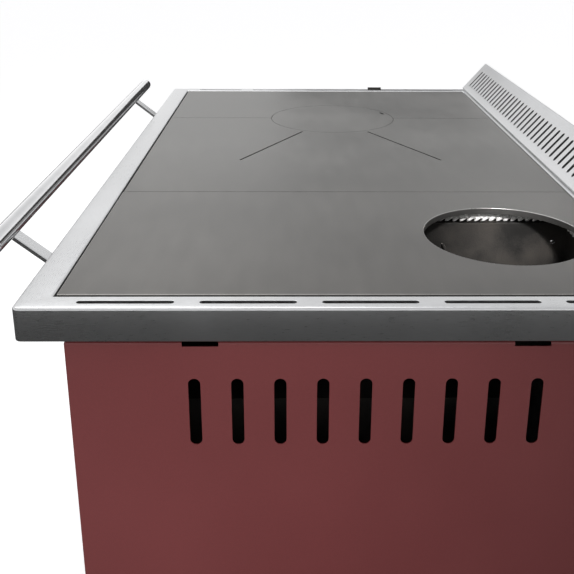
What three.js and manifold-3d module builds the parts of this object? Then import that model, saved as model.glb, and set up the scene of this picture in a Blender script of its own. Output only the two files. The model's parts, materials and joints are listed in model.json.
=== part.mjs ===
// Solid-fuel range cooker: a stainless top frame with three cast hotplates, a slotted rear
// riser and a towel rail, over an enamelled steel body with a firebox, an oven, an ash drawer
// and two storage drawers.
//
// Millimetres, +Z up. The front faces -Y and the firebox is on the left, at -X. The origin is
// on the floor, under the middle of the whole object's box.

import * as THREE from 'three';
import { mergeVertices } from 'three/addons/utils/BufferGeometryUtils.js';
import Module from 'manifold-3d';

const wasm = await Module();
wasm.setup();

// ---- driving dimensions ------------------------------------------------------------------

const seatGap = 0.3; // between pieces that rest on each other
const runGap = 3; // round a door or a drawer front in its opening
const reach = 1; // how far a cutting tool runs past what it cuts

// top frame and hotplates
const topLength = 1100;
const topDepth = 650;
const topHeight = 860;
const topSheet = 3;
const apronHeight = 35;
const apronReturn = 12;
const cornerRadius = 6;
const edgeRadius = 3;
const frontBorder = 33;
const sideBorder = 27;
const backBorder = 14.5;
const lipSheet = 2;
const plateGap = 3;
const backPlateGap = 2.5;
const plateThickness = 8;
const seamGap = 1.2;
const leftSeam = 294; // from the left end of the top
const rightSeam = 745;
const frameSlotCount = 5;
const frameSlotLength = 92.4;
const frameSlotPitch = 116.5;
const frameSlotWidth = 6.5;
const frameSlotStart = 58.3;

// round lid and its slits
const lidRadius = 113.4;
const lidGap = 0.8;
const lidLedge = 8;
const lidSeat = 4.6;
const lidFromFront = 336.5;
const lidNotchAngle = 113; // from +X, degrees
const lidNotchLength = 16;
const lidNotchWidth = 5;
const lidNotchInset = 3;
const lidSpigotGap = 2;
const slitAngle = 27.8;
const slitGap = 7.3; // from the lid's recess
const slitLength = 209.5;
const slitWidth = 3;

// flue outlet
const flueFromRight = 194.6;
const flueFromBack = 140.5;
const flueHoleRadius = 93;
const flueBoxWidth = 196;
const flueBoxDepth = 217;
const flueBoxHeight = 88;
const ropeDiameter = 13;
const flueFlange = 22;
const flueCollar = 8;
const flueBoxShift = 1; // of the box, forward of the hole
const ductWidth = 160;
const ductBack = 10;
const ductFront = 75;

// rear riser
const riserInset = 10; // foot of the slope, from the rear edge of the top frame
const riserHeight = 55;
const riserLean = 44.5;
const riserSheet = 1.5;
const riserHemRadius = 3;
const riserSlotWidth = 8;
const riserSlotPitch = 20.8;
const riserSlotEnd = 24;
const riserSlotMargin = 15;
const riserFootEnd = 1; // from the rear edge of the top frame
const riserBackGap = 2.5; // between the riser's face and the dark sheet behind it
const riserBackSheet = 1;
const riserBackStart = 7; // up the slope
const riserBackEnd = 4.7; // below the top of the slope
const riserFootBend = 1.5; // behind the foot of the slope
const riserHemSink = 0.6; // of the hem's radius
const riserCheekSetback = 1;
const riserCheekDrop = 3;

// towel rail
const railRadius = 10;
const railWall = 2;
const railReach = 46; // rail axis in front of the top frame
const railRise = 25;
const railEndInset = 84;
const railPostRightInset = 142;
const railPostLeftInset = 236;
const railPostWidth = 20;
const railPostThickness = 5;
const railPostDrop = 12;
const railPostRoot = 10; // behind the apron's face, before it is trimmed
const railCapLength = 7;
const railSpigotLength = 12;

// body shell
const panelInset = 7;
const panelSheet = 1.5;
const panelFold = 16;
const panelFront = 44;
const panelBack = 24; // from the rear edge of the top frame
const panelGap = 4;
const panelFit = 0.5; // between a side panel and what it encloses
const bodyBase = 92;
const ventCount = 9;
const ventPitch = 41.9;
const ventWidth = 12;
const ventHeight = 74;
const ventDrop = 40;
const notchWidth = 35;
const notchFromFront = 113;
const notchSpan = 320;
const notchDepth = 5;
const fasciaSheet = 6;
const fasciaSetback = 2;
const stile = 33;
const middleStile = 32;
const fireDoorWidth = 460;
const floorSheet = 3;
const plinthInset = 40;
const plinthSheet = 3;
const plinthClear = 10;
const carrierFlange = 6;
const carrierOverlap = 8; // of the plates' edge, past the frame's border
const carrierBackOverlap = 5;
const carrierFrontLand = 15;
const carrierRim = 10;
const carrierWallInset = 20;
const carrierBackWall = 4;
const backSheet = 1.5;
const backVentCount = 12;
const backVentDrop = 120;
const footRadius = 20;
const footPad = 8;
const footStem = 6;
const footStep = 4;
const footChamfer = 2;
const footInset = 75;

// heights of the openings in the front
const drawerBottom = 98;
const drawerTop = 302;
const ashBottom = 318;
const ashTop = 420;
const fireBottom = 454;
const openingTop = 766;

// doors
const doorThickness = 24;
const doorProud = 4; // of the front fascia
const doorClearBehind = 4;
const knuckleRadius = 6;
const pinRadius = 3.5;
const pinGap = 0.3;
const knuckleLength = 26;
const hingeInset = 60;
const hingeEar = 8;
const hingeClear = 0.5;
const hingeInward = 2; // of the door's edge
const hingeLeaf = 30;
const hingeBoreReach = 40;
const hingeStrapGap = 5;
const hingeStrapWidth = 7;
const hingeEarRelief = 1.5;
const barRadius = 7;
const barStandoff = 26;
const barLegRadius = 5;
const fireHandleInset = 34;
const fireHandleReach = 70; // from the middle to a leg
const fireHandleEnd = 20; // past a leg
const ashHandleShift = 60;
const ashHandleReach = 80;
const ovenHandleReach = 140;
const ovenHandleEnd = 30;
const ovenHandleDrop = 34; // below the thermometer
const drawerHandleReach = 105;
const drawerHandleDrop = 50;
const barEnd = 25; // past a leg
const glassThickness = 4;
const glassMargin = 12;
const paneDepth = 8;
const doorSkin = 5;
const doorRim = 36;
const doorRib = 8;
const ovenGlassRise = 190;
const fireGlassWidth = 250;
const fireGlassHeight = 150;
const ovenGlassWidth = 350;
const ovenGlassHeight = 190;
const sealWidth = 10;
const sealInset = 20;
const flangeOverlap = 6; // of the seal flange, past the door's opening

// firebox
const fireboxWidth = 290;
const fireboxFront = 104;
const fireboxDepth = 366;
const fireboxFloor = 424;
const casingSheet = 3;
const casingHeight = 412;
const brickThickness = 32;
const brickHeight = 360;
const mouthWidth = 240;
const mouthBottom = 486;
const mouthTop = 716;
const ashHoleInset = 15;
const fireboxBedInset = 2;
const grateThickness = 14;
const grateTravel = 20;
const grateClear = 4;
const grateBackGap = 3;
const grateSideRim = 15;
const grateEndRim = 25;
const grateSlotCount = 9;
const grateSlotWidth = 12;
const riddleRadius = 5;
const riddleSocket = 12;
const rodClear = 1;
const riddleKnobRadius = 11;
const riddleKnobLength = 16;
const riddleKnobGap = 8;

// oven
const ovenWidth = 440;
const ovenHeight = 330;
const ovenDepth = 440;
const ovenFloor = 380;
const ovenSheet = 3;
const rackWire = 2.5;
const rackBar = 2;
const rackHeight = 150;
const rackBars = 11;
const rackSideGap = 5;
const rackEndGap = 24;
const ledgeWidth = 8;
const ledgeThickness = 6;
const ledgeEndGap = 20;

// drawers, ash pan and their runners
const drawerSheet = 2;
const drawerDepth = 470;
const drawerSide = 12;
const drawerLift = 8;
const drawerFrontThickness = 18;
const ashPanWidth = 250;
const ashPanDepth = 380;
const ashPanHeight = 82;
const runnerWidth = 14;
const runnerFrontGap = 10;
const runnerBackGap = 20;
const ashRunnerBackGap = 10;
const drawerTopGap = 20; // of a drawer's box, below its opening's top
const ashPanLift = 2;

// damper, air valve and thermometer
const damperRodRadius = 4;
const damperTravel = 45;
const damperPlateSize = 60;
const damperHoleSize = 50;
const damperLift = 2;
const damperKnobGap = 12;
const damperSheet = 3;
const damperEndGap = 3;
const damperRodPast = 8;
const knobRadius = 13;
const knobLength = 22;
const knobChamfer = 4;
const knobNeck = 8;
const valveRadius = 34;
const valveThickness = 5;
const valveHoles = 6;
const valveHoleRadius = 5;
const valveCircle = 22;
const valveShift = 150;
const valveGripRadius = 9;
const valveGripHeight = 14;
const valveBore = 12;
const valveArbor = 10;
const gaugeRadius = 32;
const gaugeDepth = 9;
const gaugeDrop = 48;
const gaugeRim = 4;
const gaugeStem = 14;
const gaugeBossDepth = 18;
const gaugeFloor = 3;
const gaugeSocketRadius = 2.2;
const gaugeSocketDepth = 1;
const gaugeHubRadius = 3;
const gaugePivotRadius = 1.8;
const gaugeHubFront = 6.5; // in front of the door
const gaugeHubBack = 5;
const gaugePivotEnd = 1.5;
const needleLength = 22;
const needleTail = 8;
const needleHalfWidth = 1;
const needleSheet = 0.8;
const needleLift = 0.4;

// clip on the left edge of the top
const clipFromFront = 442.5;
const clipLength = 29;
const clipHeight = 4;
const clipInset = 3.5;
const clipWall = 2.5;
const clipFoot = 8.5;
const clipSheet = 1.5;

// ---- places worked out from them ---------------------------------------------------------

const riserSetback = topDepth - riserInset;
const panelDepth = topDepth - panelFront - panelBack;
const riserBack = riserSetback + riserLean + 2 * riserHemRadius;
const frontY = -(riserBack - railReach - railRadius) / 2; // front of the top frame
const leftX = -topLength / 2;
const rightX = topLength / 2;
const apronBottom = topHeight - apronHeight;
const plateBottom = topHeight - plateThickness;
const carrierTop = plateBottom - seatGap;
const panelX = rightX - panelInset;
const panelTop = apronBottom - panelGap;
const panelFrontY = frontY + panelFront;
const panelBackY = panelFrontY + panelDepth;
const fasciaY = panelFrontY + fasciaSetback;
const insideX = panelX - panelSheet - panelFit;
const doorY = fasciaY - doorProud;
const doorBackY = doorY + doorThickness;
const flangeY = doorBackY + doorClearBehind;
const hingeY = doorY - knuckleRadius - hingeClear;
const fireLeft = -panelX + stile;
const fireRight = fireLeft + fireDoorWidth;
const ovenLeft = fireRight + middleStile;
const ovenRight = panelX - stile;
const fireMiddle = (fireLeft + fireRight) / 2;
const ovenMiddle = (ovenLeft + ovenRight) / 2;
const shelfZ = (drawerTop + ashBottom) / 2 - floorSheet / 2;
const baseZ = bodyBase + panelSheet + seatGap;
const lidX = leftX + leftSeam;
const lidY = frontY + lidFromFront;
const flueX = rightX - flueFromRight;
const flueY = frontY + topDepth - flueFromBack;
const grateZ = fireboxFloor + floorSheet + seatGap;
const riddleZ = (ashTop + fireBottom) / 2;
const gaugeZ = openingTop - runGap - gaugeDrop;
const damperZ = (openingTop + panelTop) / 2 + damperLift;

// ---- finishes ----------------------------------------------------------------------------

function finish(color, roughness, metalness) {
  return { color, roughness, metalness };
}

const brushed = finish(0xc4c6c8, 0.35, 1);
const polished = finish(0xdadcde, 0.12, 1);
const castIron = finish(0x8a8986, 0.5, 0.8);
const darkSteel = finish(0x2b2a29, 0.6, 0.7);
const redEnamel = finish(0x74282a, 0.45, 0);
const blackEnamel = finish(0x1b1b1c, 0.4, 0);
const zinc = finish(0x9a9c9d, 0.5, 0.9);
const brick = finish(0xc9b18c, 0.95, 0);
const ropeGrey = finish(0x9a9893, 0.95, 0);
const glass = finish(0x20262a, 0.05, 0);
const blackKnob = finish(0x151515, 0.4, 0);
const rubber = finish(0x222222, 0.8, 0);

// ---- solids ------------------------------------------------------------------------------

function toSolid(geometry) {
  const bare = geometry.clone();
  bare.deleteAttribute('normal');
  bare.deleteAttribute('uv');
  const merged = mergeVertices(bare, 1e-4);
  const vertProperties = new Float32Array(merged.attributes.position.array);
  const triVerts = new Uint32Array(merged.index.array);
  return new wasm.Manifold(new wasm.Mesh({ numProp: 3, vertProperties, triVerts }));
}

function toGeometry(solid) {
  const mesh = solid.getMesh();
  const geometry = new THREE.BufferGeometry();
  geometry.setAttribute('position', new THREE.BufferAttribute(mesh.vertProperties, 3));
  geometry.setIndex(new THREE.BufferAttribute(mesh.triVerts, 1));
  geometry.computeVertexNormals();
  return geometry;
}

function block(low, high) {
  const size = high.map((value, i) => value - low[i]);
  const geometry = new THREE.BoxGeometry(...size);
  geometry.translate(...low.map((value, i) => value + size[i] / 2));
  return toSolid(geometry);
}

function join(...solids) {
  return solids.reduce((sum, solid) => sum.add(solid));
}

function cut(solid, ...tools) {
  return tools.reduce((left, tool) => left.subtract(tool), solid);
}

// A round bar from one point to another.
function bar(radius, from, to, sides = 16) {
  const start = new THREE.Vector3(...from);
  const way = new THREE.Vector3(...to).sub(start);
  const geometry = new THREE.CylinderGeometry(radius, radius, way.length(), sides);
  geometry.translate(0, way.length() / 2, 0);
  const turn = new THREE.Quaternion();
  turn.setFromUnitVectors(new THREE.Vector3(0, 1, 0), way.normalize());
  geometry.applyQuaternion(turn);
  geometry.translate(...from);
  return toSolid(geometry);
}

// A turned piece: points are [radius, distance along the axis], the axis runs along way.
function turned(points, origin, way, sides = 24) {
  const outline = points.map(([radius, along]) => new THREE.Vector2(radius, along));
  const geometry = new THREE.LatheGeometry(outline, sides);
  const turn = new THREE.Quaternion();
  turn.setFromUnitVectors(new THREE.Vector3(0, 1, 0), new THREE.Vector3(...way).normalize());
  geometry.applyQuaternion(turn);
  geometry.translate(...origin);
  return toSolid(geometry);
}

function roundedOutline(width, height, radius) {
  const shape = new THREE.Shape();
  const [w, h] = [width / 2, height / 2];
  shape.moveTo(-w + radius, -h);
  shape.absarc(w - radius, -h + radius, radius, -Math.PI / 2, 0, false);
  shape.absarc(w - radius, h - radius, radius, 0, Math.PI / 2, false);
  shape.absarc(-w + radius, h - radius, radius, Math.PI / 2, Math.PI, false);
  shape.absarc(-w + radius, -h + radius, radius, Math.PI, 1.5 * Math.PI, false);
  return shape;
}

// An outline drawn in X and Y, raised from low to high.
function raised(shape, low, high, curveSegments) {
  const settings = { depth: high - low, bevelEnabled: false, curveSegments };
  const geometry = new THREE.ExtrudeGeometry(shape, settings);
  geometry.translate(0, 0, low);
  return toSolid(geometry);
}

// A slot with round ends, lying along X, from low to high.
function slot(length, width, low, high, curveSegments) {
  const shape = new THREE.Shape();
  const radius = width / 2;
  const centre = length / 2 - radius;
  shape.absarc(centre, 0, radius, -Math.PI / 2, Math.PI / 2, false);
  shape.absarc(-centre, 0, radius, Math.PI / 2, 1.5 * Math.PI, false);
  return raised(shape, low, high, curveSegments);
}

// An outline drawn in Y and Z, run along X from low to high.
function alongX(points, low, high) {
  const shape = new THREE.Shape(points.map(([y, z]) => new THREE.Vector2(y, z)));
  const geometry = new THREE.ExtrudeGeometry(shape, { depth: high - low, bevelEnabled: false });
  const turn = new THREE.Matrix4().set(0, 0, 1, low, 1, 0, 0, 0, 0, 1, 0, 0, 0, 0, 0, 1);
  geometry.applyMatrix4(turn);
  return toSolid(geometry);
}

// A rectangular ring standing on z, with walls of the given thickness inside the outer box.
function ring(low, high, wallX, wallY) {
  const inner = block(
    [low[0] + wallX, low[1] + wallY, low[2] - reach],
    [high[0] - wallX, high[1] - wallY, high[2] + reach],
  );
  return cut(block(low, high), inner);
}

// A rectangular ring facing the front, with sides of one width.
function frontRing(low, high, width) {
  const inner = block(
    [low[0] + width, low[1] - reach, low[2] + width],
    [high[0] - width, high[1] + reach, high[2] - width],
  );
  return cut(block(low, high), inner);
}

const cooker = new THREE.Group();

function add(name, solid, { color, roughness, metalness }) {
  const material = new THREE.MeshStandardMaterial({ color, roughness, metalness });
  const mesh = new THREE.Mesh(toGeometry(solid), material);
  mesh.name = name;
  cooker.add(mesh);
}

// ---- top: frame, hotplates, lid -----------------------------------------------------------

function plateOpening(margin, low, high) {
  return block(
    [leftX + sideBorder - margin, frontY + frontBorder - margin, low],
    [rightX - sideBorder + margin, frontY + topDepth - backBorder + margin, high],
  );
}

function topFrame() {
  const shape = roundedOutline(topLength - 2 * edgeRadius, topDepth - 2 * edgeRadius, cornerRadius);
  const bevel = { bevelThickness: edgeRadius, bevelSize: edgeRadius, bevelSegments: 3 };
  const geometry = new THREE.ExtrudeGeometry(shape, { depth: apronHeight, curveSegments: 2, ...bevel });
  geometry.translate(0, frontY + topDepth / 2, apronBottom - edgeRadius);
  const backY = frontY + topDepth;
  const skin = toSolid(geometry).intersect(
    block([leftX - reach, frontY - reach, apronBottom], [rightX + reach, backY + reach, topHeight + reach]),
  );
  const hollow = block(
    [leftX + topSheet, frontY + topSheet, apronBottom + topSheet],
    [rightX - topSheet, backY - topSheet, topHeight - topSheet],
  );
  const inset = topSheet + apronReturn;
  const mouth = block(
    [leftX + inset, frontY + inset, apronBottom - reach],
    [rightX - inset, backY - backBorder + lipSheet, apronBottom + topSheet + reach],
  );
  const lip = cut(
    plateOpening(lipSheet, plateBottom, topHeight - topSheet + reach),
    plateOpening(0, plateBottom - reach, topHeight + 2 * reach),
  );
  const through = [topHeight - topSheet - reach, topHeight + reach];
  const slots = [];
  for (const x of [leftX + sideBorder / 2, rightX - sideBorder / 2]) {
    for (let i = 0; i < frameSlotCount; i += 1) {
      const y = frontY + frameSlotStart + frameSlotLength / 2 + i * frameSlotPitch;
      const hole = slot(frameSlotLength, frameSlotWidth, ...through, 2);
      slots.push(hole.rotate([0, 0, 90]).translate([x, y, 0]));
    }
  }
  return join(cut(skin, hollow, mouth, plateOpening(0, ...through), ...slots), lip);
}

// Black ring under the hotplates, standing on the body: its flange carries plates and frame.
function plateCarrier() {
  const wallX = insideX - carrierWallInset;
  const front = frontY + frontBorder;
  const back = frontY + topDepth - backBorder + carrierBackOverlap;
  const flange = cut(
    block(
      [leftX + sideBorder - carrierOverlap, front - carrierOverlap, carrierTop - carrierFlange],
      [rightX - sideBorder + carrierOverlap, back, carrierTop],
    ),
    block(
      [carrierRim - wallX, front + carrierFrontLand, 0],
      [wallX - carrierRim, panelBackY - carrierBackOverlap, topHeight],
    ),
  );
  const wall = ring(
    [-wallX, panelFrontY + carrierBackWall, panelTop + seatGap],
    [wallX, panelBackY - reach, carrierTop - carrierFlange + reach],
    carrierRim,
    carrierBackWall,
  );
  return join(flange, wall);
}

function plate(fromX, toX) {
  return block(
    [fromX, frontY + frontBorder + plateGap, plateBottom],
    [toX, frontY + topDepth - backBorder - backPlateGap, topHeight],
  );
}

// The hole that the lid fills, with a ledge under it.
function lidRecess() {
  const seat = topHeight - lidSeat - seatGap;
  const radius = lidRadius + lidGap;
  return join(
    bar(radius, [lidX, lidY, seat], [lidX, lidY, topHeight + reach], 48),
    bar(radius - lidLedge, [lidX, lidY, plateBottom - reach], [lidX, lidY, seat + reach], 48),
  );
}

function slit(side) {
  const start = lidRadius + lidGap + slitGap;
  const shape = slot(slitLength, slitWidth, plateBottom - reach, topHeight + reach, 2);
  return shape
    .translate([start + slitLength / 2, 0, 0])
    .rotate([0, 0, side * slitAngle])
    .translate([lidX, lidY, 0]);
}

function hotplates() {
  const seams = [leftX + leftSeam, leftX + rightSeam];
  const edge = topLength / 2 - sideBorder - plateGap;
  const half = seamGap / 2;
  add('hotplate_left', cut(plate(-edge, seams[0] - half), lidRecess()), castIron);
  const middle = cut(plate(seams[0] + half, seams[1] - half), lidRecess(), slit(1), slit(-1));
  add('hotplate_middle', middle, castIron);
  const hole = bar(flueHoleRadius, [flueX, flueY, 0], [flueX, flueY, topHeight + reach], 48);
  add('hotplate_right', cut(plate(seams[1] + half, edge), hole), castIron);
}

function roundLid() {
  const seat = topHeight - lidSeat;
  const spigot = lidRadius + lidGap - lidLedge - lidSpigotGap;
  const disc = join(
    bar(lidRadius, [lidX, lidY, seat], [lidX, lidY, topHeight], 48),
    bar(spigot, [lidX, lidY, plateBottom], [lidX, lidY, seat + reach], 48),
  );
  const notch = slot(lidNotchLength, lidNotchWidth, plateBottom - reach, topHeight + reach, 2)
    .rotate([0, 0, 90])
    .translate([lidRadius - lidNotchWidth - lidNotchInset, 0, 0])
    .rotate([0, 0, lidNotchAngle])
    .translate([lidX, lidY, 0]);
  return cut(disc, notch);
}

// ---- rear riser and edge clip --------------------------------------------------------------

function rearRiser() {
  const foot = topHeight + seatGap;
  const slope = Math.hypot(riserLean, riserHeight);
  const normal = [riserHeight / slope, -riserLean / slope].map((value) => value * riserSheet);
  const y0 = frontY + riserSetback;
  const top = [y0 + riserLean, foot + riserHeight];
  const flangeBack = frontY + topDepth - riserFootEnd;
  const face = alongX(
    [
      [y0, foot], [flangeBack, foot], [flangeBack, foot + riserSheet],
      [y0 + normal[0] + riserFootBend, foot + riserSheet],
      [top[0] + normal[0], top[1] + normal[1]], top,
    ],
    leftX,
    rightX,
  );
  const hemAxis = [top[0] + riserHemRadius, top[1] - riserHemRadius * riserHemSink];
  const hem = bar(riserHemRadius, [leftX, ...hemAxis], [rightX, ...hemAxis], 10);
  const cheekOutline = [
    [y0 + riserCheekSetback, foot],
    [flangeBack, foot],
    [top[0] + riserCheekSetback, top[1] - riserCheekDrop],
  ];
  const cheeks = join(
    alongX(cheekOutline, leftX, leftX + riserSheet),
    alongX(cheekOutline, rightX - riserSheet, rightX),
  );
  const count = Math.floor((topLength - 2 * riserSlotEnd - riserSlotWidth) / riserSlotPitch) + 1;
  const slotLength = slope - 2 * riserSlotMargin;
  const tilt = THREE.MathUtils.radToDeg(Math.atan2(riserHeight, riserLean));
  const slots = [];
  for (let i = 0; i < count; i += 1) {
    const x = (i - (count - 1) / 2) * riserSlotPitch;
    const hole = slot(slotLength, riserSlotWidth, -6, 8, 1).rotate([0, 0, 90]);
    slots.push(hole.rotate([tilt, 0, 0]).translate([x, y0 + riserLean / 2, foot + riserHeight / 2]));
  }
  return cut(join(face, hem, cheeks), join(...slots));
}

// The dark sheet behind the slots, parallel to the riser's face, between its cheeks.
function riserBackPlate() {
  const slope = Math.hypot(riserLean, riserHeight);
  const near = riserSheet + riserBackGap;
  const at = (along, behind) => [
    frontY + riserSetback + (along * riserLean + behind * riserHeight) / slope,
    topHeight + seatGap + (along * riserHeight - behind * riserLean) / slope,
  ];
  const far = near + riserBackSheet;
  const end = slope - riserBackEnd;
  const outline = [
    at(riserBackStart, far), at(end, far), at(end, near), at(riserBackStart, near),
  ];
  const inset = riserSheet + seatGap;
  return alongX(outline, leftX + inset, rightX - inset);
}

function edgeClip() {
  const [front, back] = [-1, 1].map((side) => frontY + clipFromFront + side * (clipLength / 2));
  const left = leftX + clipInset;
  const low = topHeight + seatGap;
  return join(
    block([left, front, low], [left + clipWall, back, low + clipHeight]),
    block([left, front, low], [left + clipFoot, back, low + clipSheet]),
  );
}

// ---- towel rail ----------------------------------------------------------------------------

const railY = frontY - railReach;
const railZ = topHeight + railRise;
const railLeft = leftX + railEndInset;
const railRight = rightX - railEndInset;

function railTube() {
  const [from, to] = [railLeft + railCapLength, railRight - railCapLength];
  return cut(
    bar(railRadius, [from, railY, railZ], [to, railY, railZ], 20),
    bar(railRadius - railWall, [from - reach, railY, railZ], [to + reach, railY, railZ], 20),
  );
}

function railCap(x, side) {
  const spigot = railRadius - railWall - seatGap;
  const steps = 4;
  const dome = [];
  for (let i = 0; i <= steps; i += 1) {
    const angle = (i / steps) * (Math.PI / 2);
    dome.push([railRadius * Math.cos(angle), (railCapLength - seatGap) * Math.sin(angle) + seatGap]);
  }
  dome[steps][0] = 0;
  const outline = [
    [0, -railSpigotLength], [spigot, -railSpigotLength], [spigot, seatGap], ...dome,
  ];
  return turned(outline, [x - side * railCapLength, railY, railZ], [side, 0, 0], 20);
}

function railPost(x) {
  const foot = new THREE.Vector2(frontY, topHeight - railPostDrop);
  const head = new THREE.Vector2(railY, railZ);
  const way = head.clone().sub(foot).normalize();
  const across = new THREE.Vector2(-way.y, way.x).multiplyScalar(railPostThickness / 2);
  const inFoot = foot.clone().addScaledVector(way, -railPostRoot);
  const outline = [
    inFoot.clone().add(across),
    head.clone().add(across),
    head.clone().sub(across),
    inFoot.clone().sub(across),
  ].map((point) => [point.x, point.y]);
  const half = railPostWidth / 2;
  return cut(
    alongX(outline, x - half, x + half),
    bar(
      railRadius + seatGap,
      [x - railPostWidth, railY, railZ],
      [x + railPostWidth, railY, railZ],
      20,
    ),
    block(
      [x - railPostWidth, frontY - seatGap, apronBottom],
      [x + railPostWidth, frontY + frontBorder, topHeight],
    ),
  );
}

// ---- body shell ----------------------------------------------------------------------------

// A folded tray: the sheet faces outwards and its four edges turn in. Built for the +X side.
function sidePanel() {
  const low = [panelX - panelFold, panelFrontY, bodyBase];
  const high = [panelX, panelBackY, panelTop];
  const tray = cut(
    block(low, high),
    block(
      [low[0] - reach, low[1] + panelSheet, low[2] + panelSheet],
      [panelX - panelSheet, high[1] - panelSheet, high[2] - panelSheet],
    ),
  );
  const vents = [];
  for (let i = 0; i < ventCount; i += 1) {
    const y = panelFrontY + panelDepth / 2 + (i - (ventCount - 1) / 2) * ventPitch;
    const hole = slot(ventHeight, ventWidth, -4, 4, 3).rotate([0, 90, 0]);
    vents.push(hole.translate([panelX, y, panelTop - ventDrop - ventHeight / 2]));
  }
  const notches = [0, notchSpan].map((offset) => {
    const y = panelFrontY + notchFromFront + offset;
    return block(
      [panelX - panelFold - reach, y, panelTop - notchDepth],
      [panelX + reach, y + notchWidth, panelTop + reach],
    );
  });
  return cut(tray, ...vents, ...notches);
}

function opening(left, right, low, high) {
  return block([left, fasciaY - reach, low], [right, fasciaY + fasciaSheet + reach, high]);
}

function rodHole(radius, x, z) {
  const [from, to] = [fasciaY - reach, fasciaY + fasciaSheet + reach];
  return bar(radius + rodClear, [x, from, z], [x, to, z]);
}

function frontFascia() {
  const sheet = block(
    [-insideX, fasciaY, baseZ],
    [insideX, fasciaY + fasciaSheet, panelTop - panelSheet - seatGap],
  );
  return cut(
    sheet,
    opening(fireLeft, fireRight, drawerBottom, drawerTop),
    opening(ovenLeft, ovenRight, drawerBottom, drawerTop),
    opening(fireLeft, fireRight, ashBottom, ashTop),
    opening(fireLeft, fireRight, fireBottom, openingTop),
    opening(ovenLeft, ovenRight, ashBottom, openingTop),
    rodHole(riddleRadius, fireMiddle, riddleZ),
    rodHole(damperRodRadius, flueX, damperZ),
  );
}

function backPanel() {
  const y = panelBackY - panelSheet - seatGap;
  const sheet = block(
    [-insideX, y - backSheet, baseZ],
    [insideX, y, panelTop - panelSheet - seatGap],
  );
  const vents = [];
  for (let i = 0; i < backVentCount; i += 1) {
    const x = (i - (backVentCount - 1) / 2) * 2 * ventPitch;
    const hole = slot(ventHeight, ventWidth, -6, 6, 1).rotate([0, 90, 0]).rotate([0, 0, 90]);
    vents.push(hole.translate([x, y, panelTop - backVentDrop]));
  }
  return cut(sheet, ...vents);
}

function floorPlate(z) {
  return block(
    [-insideX, fasciaY + fasciaSheet + seatGap, z],
    [insideX, panelBackY - panelSheet - backSheet - 2 * seatGap, z + floorSheet],
  );
}

function plinth() {
  return ring(
    [-panelX + plinthInset, panelFrontY + plinthInset, plinthClear],
    [panelX - plinthInset, panelBackY - plinthInset / 2, bodyBase + panelSheet],
    plinthSheet,
    plinthSheet,
  );
}

function foot(x, y) {
  const outline = [
    [0, 0], [footRadius - footChamfer, 0], [footRadius, footChamfer], [footRadius, footPad],
    [footStem, footPad + footStep], [footStem, baseZ - seatGap], [0, baseZ - seatGap],
  ];
  return turned(outline, [x, y, 0], [0, 0, 1], 20);
}

// ---- hinges and bar handles ----------------------------------------------------------------

// A door's own knuckle: a barrel on the hinge line with a leaf that runs into the door.
function knuckle(from, to, leafLow, leafHigh) {
  return join(bar(knuckleRadius, from, to, 14), block(leafLow, leafHigh));
}

function handle(from, to, legs) {
  const grip = bar(barRadius, from, to, 14);
  const feet = legs.map((leg) => bar(barLegRadius, leg, [leg[0], leg[1] - barStandoff, leg[2]], 12));
  return join(grip, ...feet);
}

// A level handle: a bar round a middle, on two legs at the given reach from it.
function levelHandle(x, z, legReach, end) {
  const y = doorY - seatGap;
  const gripY = y - barStandoff;
  return handle(
    [x - legReach - end, gripY, z],
    [x + legReach + end, gripY, z],
    [[x - legReach, y, z], [x + legReach, y, z]],
  );
}

// ---- firebox door --------------------------------------------------------------------------

const fireDoorLow = [fireLeft + runGap, doorY, fireBottom + runGap];
const fireDoorHigh = [fireRight - runGap, doorBackY, openingTop - runGap];
const fireGlassZ = (fireDoorLow[2] + fireDoorHigh[2]) / 2;
const fireHingeX = fireLeft + runGap + hingeInward;
const fireHingeZ = [fireDoorLow[2] + hingeInset, fireDoorHigh[2] - hingeInset];

function windowBlock(x, z, width, height, fromY, toY) {
  return block([x - width / 2, fromY, z - height / 2], [x + width / 2, toY, z + height / 2]);
}

// A door slab with a window, a rebate behind it for the pane, and four hollows in its back
// face between the rim that carries the seal and the frame of the window.
function glazedDoor(low, high, x, z, width, height) {
  const pane = { width: width + 2 * glassMargin, height: height + 2 * glassMargin };
  const frame = { width: pane.width / 2 + doorRib, height: pane.height / 2 + doorRib };
  const [left, right] = [low[0] + doorRim, high[0] - doorRim];
  const [bottom, top] = [low[2] + doorRim, high[2] - doorRim];
  const hollow = (fromX, toX, fromZ, toZ) => block(
    [fromX, low[1] + doorSkin, fromZ],
    [toX, high[1] + reach, toZ],
  );
  return cut(
    block(low, high),
    windowBlock(x, z, width, height, low[1] - reach, high[1] + reach),
    windowBlock(x, z, pane.width, pane.height, low[1] + paneDepth, high[1] + reach),
    hollow(left, x - frame.width, bottom, top),
    hollow(x + frame.width, right, bottom, top),
    hollow(x - frame.width + doorRib, x + frame.width - doorRib, bottom, z - frame.height),
    hollow(x - frame.width + doorRib, x + frame.width - doorRib, z + frame.height, top),
  );
}

function glassPane(low, x, z, width, height) {
  const grow = 2 * (glassMargin - seatGap);
  const y = low[1] + paneDepth + seatGap;
  return windowBlock(x, z, width + grow, height + grow, y, y + glassThickness);
}

function doorSeal(low, high) {
  return frontRing(
    [low[0] + sealInset, doorBackY + seatGap, low[2] + sealInset],
    [high[0] - sealInset, flangeY - seatGap, high[2] - sealInset],
    sealWidth,
  );
}

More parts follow.
